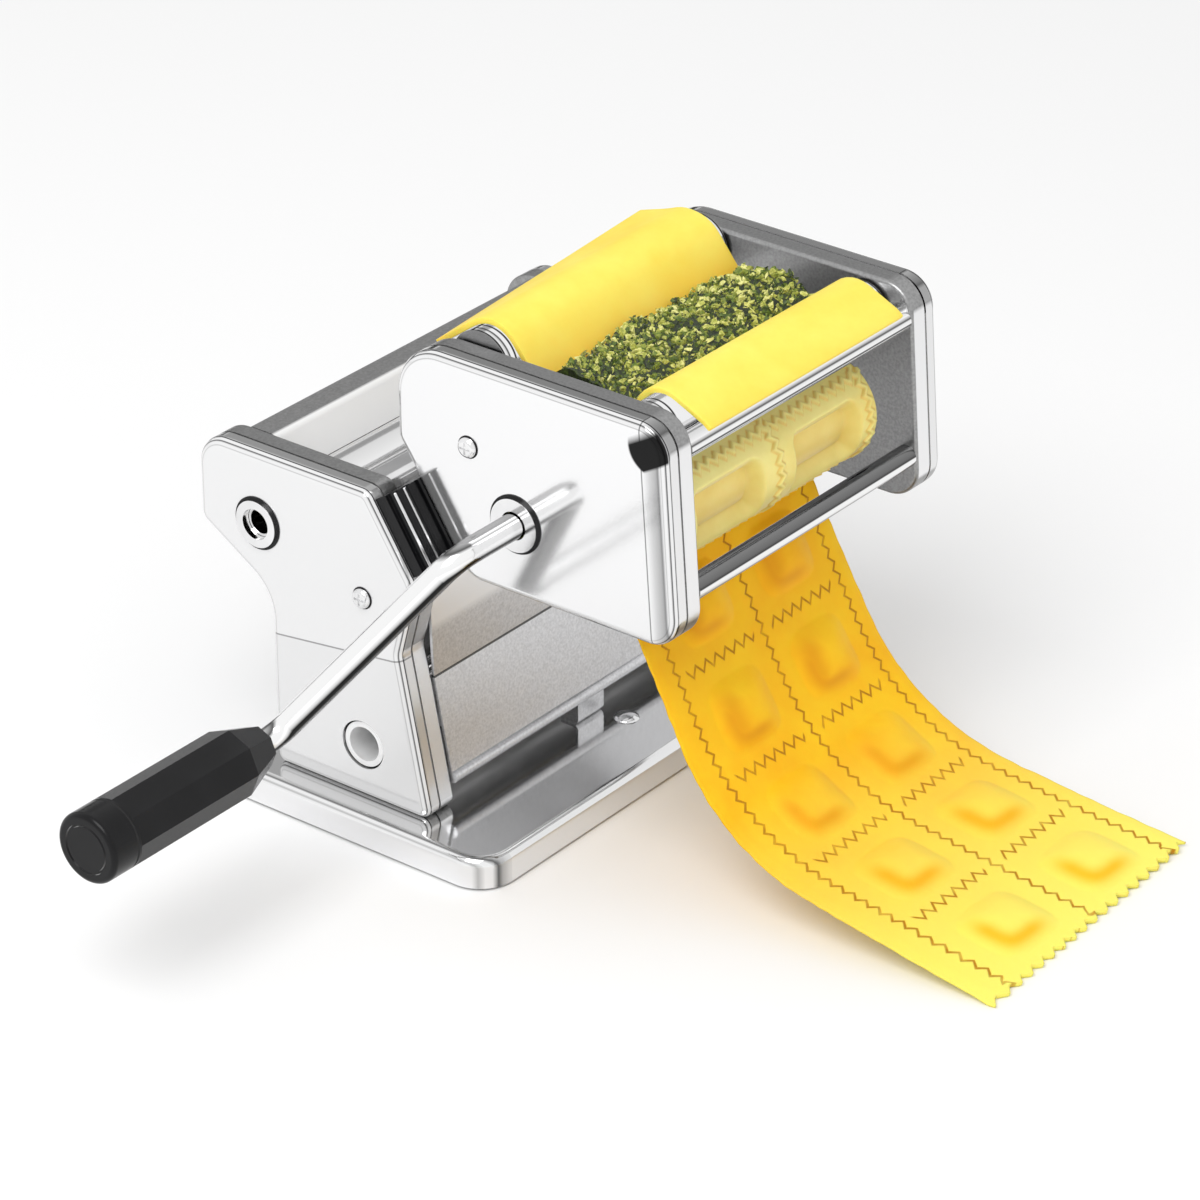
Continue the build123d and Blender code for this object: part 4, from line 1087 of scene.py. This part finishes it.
def ravioli_strip(material):
    """Filled strip from a grid laid along the strip's path, with pillows raised on both sides."""
    dough = settings("dough_shape")
    length = strip_length()
    middle = settings("mould_shape").middle
    strip = bmesh.new()
    bmesh.ops.create_grid(strip, x_segments=STRIP_COLUMNS, y_segments=STRIP_ROWS, size=0.5)
    uv_layer = strip.loops.layers.uv.new("strip")
    shade_layer = strip.verts.layers.float.new("shade")
    under = bmesh.ops.extrude_face_region(strip, geom=list(strip.faces))["geom"]
    under_verts = [g for g in under if isinstance(g, bmesh.types.BMVert)]
    bmesh.ops.translate(strip, vec=(0, 0, -1), verts=under_verts)
    for face in strip.faces:
        for loop in face.loops:
            loop[uv_layer].uv = (loop.vert.co.x + 0.5, loop.vert.co.y + 0.5)
    for vert in strip.verts:
        across, share = vert.co.x + 0.5, vert.co.y + 0.5
        below = vert.co.z < -0.5
        tooth = END_TOOTH * triangle_wave(across * dough.end_width, END_TOOTH_PITCH)
        skew = END_SKEW * (1 - across) * smooth_step(0.80, 1.0, share)
        along = share * (length - 2.0 * MM) + skew + tooth * smooth_step(0.97, 1.0, share)
        place, normal = strip_place(along)
        ease = (along / length) ** 2
        width = dough.width + (dough.end_width - dough.width) * ease
        rise, shade = pillow_height(across, along, length)
        wave = 0.25 * MM * noise.noise(Vector((9 * across, 26 * share, 1.0)))
        half = dough.thickness / 2 - 0.1 * MM
        pinch = 1.0 - 0.45 * smooth_step(0.035, 0.0, min(across, 1 - across))
        if below:
            lift = -half * pinch - min(0.55 * dough.pillow_height * rise, max(0.0, place.y - half - 1.0 * MM))
        else:
            lift = half * pinch + dough.pillow_height * rise
        settle = wave * smooth_step(1.0, 0.93, share)
        point = clear_of_rollers(place + normal * (lift + settle))
        edge = EDGE_WAVER * noise.noise(Vector((3.0, 40 * share, 6 * round(across))))
        side = middle + (across - 0.5) * width + dough.drift * ease + edge * abs(2 * across - 1) ** 8
        side -= BORDER_TRIM * smooth_step(0.25, 0.6, share) * max(0.0, 1 - across / STRIP_LINES[0])
        resting = TABLE_GAP if below else TABLE_GAP + 1.2 * half
        vert.co = Vector((side, point.x, max(point.y, resting)))
        vert[shade_layer] = 0.95 * shade
    bmesh.ops.recalc_face_normals(strip, faces=strip.faces)
    return finish_piece(strip, "filled_strip", material, "attachment", replaced=("ravioli_strip",),
                        mirrored=False)


# ---------------------------------------------------------------- filling
def heap_height(x, y, low, high):
    """Top of the heap of filling over a place in the trough."""
    middle = 0.5 * (low[1] + high[1])
    across = (y - middle) / (0.5 * (high[1] - low[1]))
    crown = high[2] - 2.5 * MM - 5.5 * MM * across * across
    lumps = 5.0 * MM * noise.noise(Vector((85 * x, 85 * y, 3.0)))
    clumps = 2.6 * MM * noise.noise(Vector((230 * x, 230 * y, 8.0)))
    return min(crown + lumps + clumps, high[2] - 1.5 * MM)


def filling_heap(material):
    """Chopped filling: a lumpy core with thousands of small bits pressed into its top."""
    look = settings("filling_shape")
    low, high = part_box("filling")
    random.seed(7)
    heap = bmesh.new()
    shade_layer = heap.verts.layers.float.new("shade")
    bmesh.ops.create_grid(heap, x_segments=110, y_segments=40, size=0.5)
    for vert in heap.verts:
        x = low[0] + 1 * MM + (vert.co.x + 0.5) * (high[0] - low[0] - 2 * MM)
        share = vert.co.y + 0.5
        y = low[1] + 2 * MM + share * (high[1] - low[1] - 4 * MM)
        z = heap_height(x, y, low, high) - 2.6 * MM
        vert.co = Vector((x, y, z))
        # The core is toned near black: painted shade in the gaps between the bits.
        vert[shade_layer] = 0.02 + 0.2 * random.random()
    base = bmesh.ops.extrude_face_region(heap, geom=list(heap.faces))["geom"]
    for vert in [g for g in base if isinstance(g, bmesh.types.BMVert)]:
        centre = 0.5 * (low[1] + high[1])
        vert.co.y = centre + 0.45 * (vert.co.y - centre)
        vert.co.z = 0.5 * (low[2] + high[2])
        # The heap's underside is toned near black as painted shade.
        vert[shade_layer] = 0.1
    bmesh.ops.recalc_face_normals(heap, faces=heap.faces)
    for _ in range(look.bits):
        x = random.uniform(low[0] + 2.5 * MM, high[0] - 2.5 * MM)
        y = random.uniform(low[1] + 3 * MM, high[1] - 3 * MM)
        size = look.bit_size * random.uniform(0.25, 1.0) ** 1.3
        place = Vector((x, y, heap_height(x, y, low, high) - random.uniform(0.0, 3.4) * MM))
        bit = bmesh.ops.create_icosphere(heap, subdivisions=1, radius=size / 2)["verts"]
        flat = Matrix.Diagonal((1.0, random.uniform(0.35, 0.8), random.uniform(0.12, 0.5), 1.0))
        spin = Matrix.Rotation(random.uniform(0, 2 * math.pi), 4, "Z")
        tip = Matrix.Rotation(random.uniform(-1.3, 1.3), 4, "X")
        tip = tip @ Matrix.Rotation(random.uniform(-1, 1), 4, "Y")
        bmesh.ops.transform(heap, matrix=Matrix.Translation(place) @ tip @ spin @ flat, verts=bit)
        tone = random.choice((0.25, 0.42, 0.6, 0.75, 0.85, 0.95, 1.0)) + random.uniform(-0.08, 0.08)
        # Painted shade: bits sunk deeper into the heap are darker.
        tone *= 1.0 - 0.5 * smooth_step(0.0, 4 * MM, heap_height(x, y, low, high) - place.z)
        for vert in bit:
            vert.co += Vector([random.uniform(-0.16, 0.16) * size for _ in range(3)])
            vert[shade_layer] = min(1.0, max(0.0, tone))
    return finish_piece(heap, "chopped_filling", material, "attachment", smooth=False,
                        replaced=("filling",), mirrored=False)


# ---------------------------------------------------------------- small fittings
def round_rivet(name, place, radius, height, material, body):
    """Domed rivet head standing on a flat face that looks up."""
    head = bmesh.new()
    bmesh.ops.create_uvsphere(head, u_segments=28, v_segments=14, radius=radius)
    bmesh.ops.bisect_plane(head, geom=head.verts[:] + head.edges[:] + head.faces[:], plane_co=(0, 0, 0),
                           plane_no=(0, 0, 1), clear_inner=True)
    rim = [e for e in head.edges if e.is_boundary]
    bmesh.ops.contextual_create(head, geom=rim)
    squash = Matrix.Diagonal((1, 1, height / radius, 1))
    bmesh.ops.transform(head, matrix=Matrix.Translation(place) @ squash, verts=head.verts)
    bmesh.ops.recalc_face_normals(head, faces=head.faces)
    return finish_piece(head, name, material, body)


def side_ring(name, x, axle, inner, outer, height, material, body):
    """Ring about an axis along X, standing out toward -X."""
    ring = bmesh.new()
    start = [ring.verts.new((x, axle.x + radius, axle.y)) for radius in (inner, outer)]
    start += [ring.verts.new((x - height, axle.x + radius, axle.y)) for radius in (outer, inner)]
    edges = [ring.edges.new(pair) for pair in zip(start, start[1:] + start[:1])]
    bmesh.ops.spin(ring, geom=start + edges, cent=(x, axle.x, axle.y), axis=(1, 0, 0), angle=2 * math.pi,
                   steps=64, use_merge=True)
    bmesh.ops.remove_doubles(ring, verts=ring.verts, dist=0.01 * MM)
    bmesh.ops.recalc_face_normals(ring, faces=ring.faces)
    return finish_piece(ring, name, material, body, smooth=False)


DOCK_BROW = Vector((-3.0 * MM, 144.0 * MM))
DOCK_RUN = Vector((-math.cos(math.radians(56.5)), -math.sin(math.radians(56.5))))
DOCK_OUT = Vector((DOCK_RUN.y, -DOCK_RUN.x))
BRACKET_PROFILE = (
    (-97.8, 3.6), (-93.4, 3.6), (-93.4, 6.0), (-95.9, 6.0), (-95.9, 8.7), (-85.1, 8.7), (-85.1, 6.0),
    (-87.6, 6.0), (-87.6, 3.6), (-71.1, 3.6), (-71.1, 10.4), (-83.9, 10.4), (-83.9, 12.6), (-85.2, 12.6),
    (-85.3, 10.8), (-85.8, 10.8), (-86.0, 11.4), (-89.0, 11.4), (-89.0, 9.3), (-91.4, 9.3), (-91.4, 10.1),
    (-94.7, 10.1), (-94.7, 9.2), (-96.3, 9.2), (-96.3, 6.4), (-97.8, 6.4))
# Bright steel strips in the bracket's grooves, guessed rails that stand in for highlights.
BRACKET_HIGHLIGHT_INLAYS = ((-96.2, -94.8, 9.25, 9.6), (-91.3, -89.1, 9.35, 9.8))
RIVET_PLACE = (9 * MM, -40 * MM)


def dock_point(x, out, along):
    """Place given by X, height out of the dock face and distance down it, in millimetres."""
    place = DOCK_BROW + DOCK_RUN * (along * MM) + DOCK_OUT * (out * MM)
    return Vector((x * MM, place.x, place.y))


def dock_prism(name, profile, side, first, last, material, replaced=()):
    """Profile across the dock extruded down it, then softened at its edges."""
    block = bmesh.new()
    face = block.faces.new([block.verts.new(dock_point(side * x, out, first)) for x, out in profile])
    grown = bmesh.ops.extrude_face_region(block, geom=[face])["geom"]
    shift = dock_point(0, 0, last) - dock_point(0, 0, first)
    bmesh.ops.translate(block, vec=shift, verts=[g for g in grown if isinstance(g, bmesh.types.BMVert)])
    bmesh.ops.recalc_face_normals(block, faces=block.faces)
    bmesh.ops.bevel(block, geom=block.edges[:], offset=0.14 * MM, segments=2, profile=0.5, affect="EDGES",
                    clamp_overlap=True, material=-1)
    return finish_piece(block, name, material, "attachment",
                        smooth=False, replaced=replaced)


def dock_bracket(node, side, black, metal):
    """Ribbed block that slides over the docking rail, with two bright steel inlays in its grooves that stand
    in for the highlights there.
    """
    dock_prism(node + "_ribs", BRACKET_PROFILE, side, 4.0, 36.0, black, (node,))
    for index, (low, high, under, over) in enumerate(BRACKET_HIGHLIGHT_INLAYS):
        corners = ((low, under), (high, under), (high, over), (low, over))
        dock_prism(f"{node}_highlight_inlay_{index + 1}", corners, side, 4.6, 35.4, metal)


# ---------------------------------------------------------------- studio
KEY_PLACE = (-1.4, -0.3, 1.9)
KEY_TARGET = (0, -0.05, 0.1)
KEY_SIZE = 1.4
CARD_WIDTH = 4.0
# Name, how far behind the object, height of its middle, its own height and its strength.
CARDS = (("rear_card", 2.2, 1.15, 1.0, 0.42), ("low_card", 2.1, 0.22, 0.42, 0.02))


def plain_glow(name, strength):
    """Even glow of one grey."""
    material = bpy.data.materials.new(name)
    material.use_nodes = True
    tree = material.node_tree
    tree.nodes.clear()
    glow = tree.nodes.new("ShaderNodeEmission")
    glow.inputs["Color"].default_value = gray(strength)
    end = tree.nodes.new("ShaderNodeOutputMaterial")
    tree.links.new(glow.outputs[0], end.inputs["Surface"])
    return material


def reflection_card(name, centre, across, up, strength):
    """Card seen only in polished metal, outside the picture."""
    card = bmesh.new()
    bmesh.ops.create_grid(card, x_segments=1, y_segments=1, size=0.5)
    normal = across.cross(up).normalized()
    turn = Matrix((across.normalized(), up.normalized(), normal)).transposed().to_4x4()
    size = Matrix.Diagonal((across.length, up.length, 1, 1))
    bmesh.ops.transform(card, matrix=Matrix.Translation(centre) @ turn @ size, verts=card.verts)
    piece = new_object(card, name, plain_glow(name, strength))
    piece.visible_camera = False
    piece.visible_diffuse = False
    piece.visible_shadow = False
    piece.visible_transmission = False


def camera_axes(look):
    """Right, up and backward axes of the camera."""
    turn, rise = look.camera_turn, look.camera_rise
    back = Vector((math.sin(turn) * math.cos(rise), -math.cos(turn) * math.cos(rise), math.sin(rise)))
    right = Vector((math.cos(turn), math.sin(turn), 0.0))
    return right, back.cross(right), back


def add_camera():
    """Camera at its place and angle."""
    look = settings("studio_look")
    data = bpy.data.cameras.new("studio_camera")
    data.sensor_width = 36.0
    data.lens = 36.0 * look.focal_pixels
    data.clip_end = 50.0
    camera = bpy.data.objects.new("studio_camera", data)
    bpy.context.scene.collection.objects.link(camera)
    right, up, back = camera_axes(look)
    turn = Matrix((right, up, back)).transposed().to_4x4()
    camera.matrix_world = Matrix.Translation(Vector(look.camera_place)) @ turn
    bpy.context.scene.camera = camera


def add_floor():
    """Round sheet of pale paper that catches the soft shadow."""
    floor = bmesh.new()
    bmesh.ops.create_circle(floor, cap_ends=True, segments=96, radius=4.0)
    paper = new_material("floor_paper", roughness=1.0, Specular_IOR_Level=0.0, Base_Color=gray(0.93))[0]
    piece = new_object(floor, "studio_floor", paper)


def add_room():
    """White room whose strength is plain for light and full white for the camera and in gloss."""
    look = settings("studio_look")
    world = bpy.data.worlds.new("studio_room")
    bpy.context.scene.world = world
    world.use_nodes = True
    tree = world.node_tree
    background = tree.nodes["Background"]
    background.inputs["Color"].default_value = gray(1.0)
    path = tree.nodes.new("ShaderNodeLightPath")
    seen = math_node(tree, "MAXIMUM", path.outputs["Is Camera Ray"], path.outputs["Is Glossy Ray"])
    seen = math_node(tree, "MAXIMUM", seen, path.outputs["Is Transmission Ray"])
    tree.links.new(spread(tree, seen, 0.0, 1.0, look.sky, 1.0), background.inputs["Strength"])


def add_lamp(name, place, target, size, power):
    """Square soft lamp that points at a target."""
    data = bpy.data.lights.new(name, "AREA")
    data.energy = power
    data.size = size
    lamp = bpy.data.objects.new(name, data)
    bpy.context.scene.collection.objects.link(lamp)
    lamp.location = place
    lamp.rotation_euler = (Vector(target) - Vector(place)).to_track_quat("-Z", "Y").to_euler()


# ---------------------------------------------------------------- operators
class MAKER_OT_machine_finish(bpy.types.Operator):
    """Give the machine's own pieces their finishes"""

    bl_idname = "ravioli_maker.machine_finish"
    bl_label = "Machine Finishes"

    def execute(self, context):
        finishes = (
            (polished_cover("base_steel", bold=False), ["base_shell"]),
            (polished_cover("attachment_steel", corner_shade, metallic=0.85),
             ["attachment_cover_left", "attachment_cover_right"]),
            (polished_cover("housing_steel", panel_shade, metallic=0.5),
             ["side_cover_left", "side_cover_right"]),
            (frame_shade_and_highlight(), ["side_frame_left", "side_frame_right", "attachment_frame_left",
                             "attachment_frame_right"]),
            (satin_sheet(), ["rear_apron"]),
            (apron_sheet(), ["front_apron"]),
            (feed_sheet(), ["rear_feed_plate"]),
            (pale_tube(), ["clamp_tube"]),
            (reflection_banded_steel("crank_steel", CRANK_REFLECTIONS), ["crank_rod"]),
            (reflection_banded_steel("upper_steel", UPPER_REFLECTIONS),
             ["upper_front_bar", "tie_rods", "drive_roller", "adjust_roller", "back_bar"]),
            (reflection_banded_steel("lower_steel", LOWER_REFLECTIONS), ["lower_front_bar"]),
            (bright_steel(), ["front_guard", "cover_screws", "attachment_screws", "drive_gear", "adjust_gear",
                              "crank_socket_ring", "hub_ring", "regulator_shaft"]),
            (ring_shaded_steel(), ["rear_feed_roller", "front_feed_roller"]),
            (black_gloss(), ["dock_rail_left", "dock_rail_right", "dock_bracket_left", "dock_bracket_right",
                             "regulator_knob", "crank_grip", "grip_cap"]),
            (mat_rubber(), ["base_mat"]),
            (nylon(), ["drive_roller_bushes", "adjust_roller_bushes", "rear_scraper", "front_scraper"]),
            (cream_plastic("gear_plastic", shaded=False), ["rear_mould_gear", "front_mould_gear"]),
        )
        for material, nodes in finishes:
            set_material(nodes, material)
        for name in ("crank_grip", "grip_cap"):
            frame["nodes"][name].visible_glossy = False
        return {"FINISHED"}


class MAKER_OT_mould_rollers(bpy.types.Operator):
    """Model the two moulding rollers with pockets and zigzag cutters"""

    bl_idname = "ravioli_maker.mould_rollers"
    bl_label = "Moulding Rollers"

    def execute(self, context):
        plastic = cream_plastic()
        rear_start, front_start = math.radians(NIP_ANGLE + 180), math.radians(NIP_ANGLE)
        moulding_roller("rear_mould_roller", REAR_MOULD, rear_start, 1, plastic, "rear_mould")
        moulding_roller("front_mould_roller", FRONT_MOULD, front_start, -1, plastic, "front_mould")
        return {"FINISHED"}


class MAKER_OT_dough_sheets(bpy.types.Operator):
    """Lay the two dough sheets over the feed rollers"""

    bl_idname = "ravioli_maker.dough_sheets"
    bl_label = "Dough Sheets"

    def execute(self, context):
        material = sheet_dough()
        short = math.radians(31)
        rear_tail, front_tail = math.radians(58), math.radians(114.5)
        rear_lead = [Vector((-5.5 * MM, 192.5 * MM))]
        front_lead = [Vector((-127.4 * MM, 190.5 * MM)), Vector((-124.6 * MM, 192.6 * MM))]
        rear = sheet_path(REAR_FEED, REAR_FEED_RADIUS, REAR_MOULD, -1, rear_tail,
                          math.radians(NIP_ANGLE + 180) - short, rear_lead)
        front = sheet_path(FRONT_FEED, FRONT_FEED_RADIUS, FRONT_MOULD, 1, front_tail,
                           math.radians(NIP_ANGLE) + short, front_lead)
        dough_sheet("rear_sheet", rear, material, ("rear_dough_sheet",), seed=1.0, low_x=-60.5 * MM,
                    lift_start=13, lift=-2.0 * MM, lift_far=9.0 * MM)
        dough_sheet("front_sheet", front, material, ("front_dough_sheet",), seed=5.0, low_x=-57 * MM)
        return {"FINISHED"}


class MAKER_OT_filled_strip(bpy.types.Operator):
    """Lay the strip of filled pillows from the rollers to the table"""

    bl_idname = "ravioli_maker.filled_strip"
    bl_label = "Filled Strip"

    def execute(self, context):
        ravioli_strip(strip_dough())
        return {"FINISHED"}


class MAKER_OT_filling(bpy.types.Operator):
    """Heap the chopped filling between the sheets"""

    bl_idname = "ravioli_maker.filling"
    bl_label = "Filling"

    def execute(self, context):
        filling_heap(herb_filling())
        return {"FINISHED"}


class MAKER_OT_fittings(bpy.types.Operator):
    """Add rivets, black rings of painted shade round the crank's turned rings and the screw heads, and other
    small fittings
    """

    bl_idname = "ravioli_maker.fittings"
    bl_label = "Fittings"

    def execute(self, context):
        black, metal = bpy.data.materials["black_gloss"], bpy.data.materials["bright_steel"]
        base_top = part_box("base_shell")[1][2]
        round_rivet("base_rivet", Vector((*RIVET_PLACE, base_top)), 5.0 * MM, 1.8 * MM, metal, "body")
        thin = 0.35 * MM
        # Thin black rings of painted shade and painted reflection round the turned rings of the crank socket
        # and hub.
        side_ring("socket_shade_ring", -BODY_SIDE, axle_of("drive_roller_spin"), 9.2 * MM, 10.8 * MM, thin, black,
                  "body")
        side_ring("hub_shade_ring", -ATTACHMENT_SIDE, REAR_MOULD, 10.2 * MM, 11.7 * MM, thin, black, "attachment")
        for node, body, reach in (("cover_screws", "body", BODY_SIDE),
                                  ("attachment_screws", "attachment", ATTACHMENT_SIDE)):
            low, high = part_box(node)
            size = 0.5 * (high[2] - low[2])
            for label, side in (("left", -1), ("right", 1)):
                # Thin black rings of painted shade round the screw heads.
                side_ring(f"{node}_rim_{label}", side * reach, node_middle(node), size - 0.1 * MM,
                          size + 0.5 * MM, -side * 0.2 * MM, black, body)
        tube_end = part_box("clamp_tube")[0][0]
        side_ring("clamp_collar", tube_end - 0.2 * MM, node_middle("clamp_tube"), 7.1 * MM, 9.3 * MM,
                  tube_end + BODY_SIDE - 1 * MM, bpy.data.materials["pale_tube"], "body")
        dock_bracket("dock_bracket_left", 1, black, metal)
        dock_bracket("dock_bracket_right", -1, black, metal)
        return {"FINISHED"}


class MAKER_OT_studio(bpy.types.Operator):
    """Set up the floor, the light and the camera"""

    bl_idname = "ravioli_maker.studio"
    bl_label = "Studio"

    def execute(self, context):
        look = settings("studio_look")
        context.scene.view_settings.view_transform = "Standard"
        add_camera()
        add_floor()
        add_room()
        add_lamp("key_lamp", KEY_PLACE, KEY_TARGET, KEY_SIZE, look.key)
        right, _, back = camera_axes(look)
        behind = Vector((-back.x, -back.y, 0.0)).normalized()
        for name, far, middle, height, strength in CARDS:
            reflection_card(name, behind * far + Vector((0, 0, middle)), right * CARD_WIDTH,
                            Vector((0, 0, height)), strength)
        return {"FINISHED"}


class MAKER_PT_panel(bpy.types.Panel):
    """Lists the pieces and their settings"""

    bl_label = "Ravioli Maker"
    bl_idname = "MAKER_PT_panel"
    bl_space_type = "VIEW_3D"
    bl_region_type = "UI"
    bl_category = "Ravioli Maker"

    def draw(self, context):
        for operator in OPERATORS:
            self.layout.operator(operator.bl_idname)
        for name, group in GROUPS.items():
            box = self.layout.box()
            values = getattr(context.scene, name)
            for label in group.__annotations__:
                box.prop(values, label)


GROUPS = {
    "machine_finish": MachineFinish,
    "mould_shape": MouldShape,
    "dough_shape": DoughShape,
    "filling_shape": FillingShape,
    "studio_look": StudioLook,
}
OPERATORS = (MAKER_OT_machine_finish, MAKER_OT_mould_rollers, MAKER_OT_dough_sheets, MAKER_OT_filled_strip,
             MAKER_OT_filling, MAKER_OT_fittings, MAKER_OT_studio)


def register():
    for group in GROUPS.values():
        bpy.utils.register_class(group)
    for operator in OPERATORS:
        bpy.utils.register_class(operator)
    bpy.utils.register_class(MAKER_PT_panel)
    for name, group in GROUPS.items():
        setattr(bpy.types.Scene, name, bpy.props.PointerProperty(type=group))


def unregister():
    for name in GROUPS:
        delattr(bpy.types.Scene, name)
    bpy.utils.unregister_class(MAKER_PT_panel)
    for operator in reversed(OPERATORS):
        bpy.utils.unregister_class(operator)
    for group in reversed(list(GROUPS.values())):
        bpy.utils.unregister_class(group)


def main():
    register()
    bpy.ops.ravioli_maker.machine_finish()
    bpy.ops.ravioli_maker.mould_rollers()
    bpy.ops.ravioli_maker.dough_sheets()
    bpy.ops.ravioli_maker.filled_strip()
    bpy.ops.ravioli_maker.filling()
    bpy.ops.ravioli_maker.fittings()
    bpy.ops.ravioli_maker.studio()


if __name__ == "__main__":
    main()
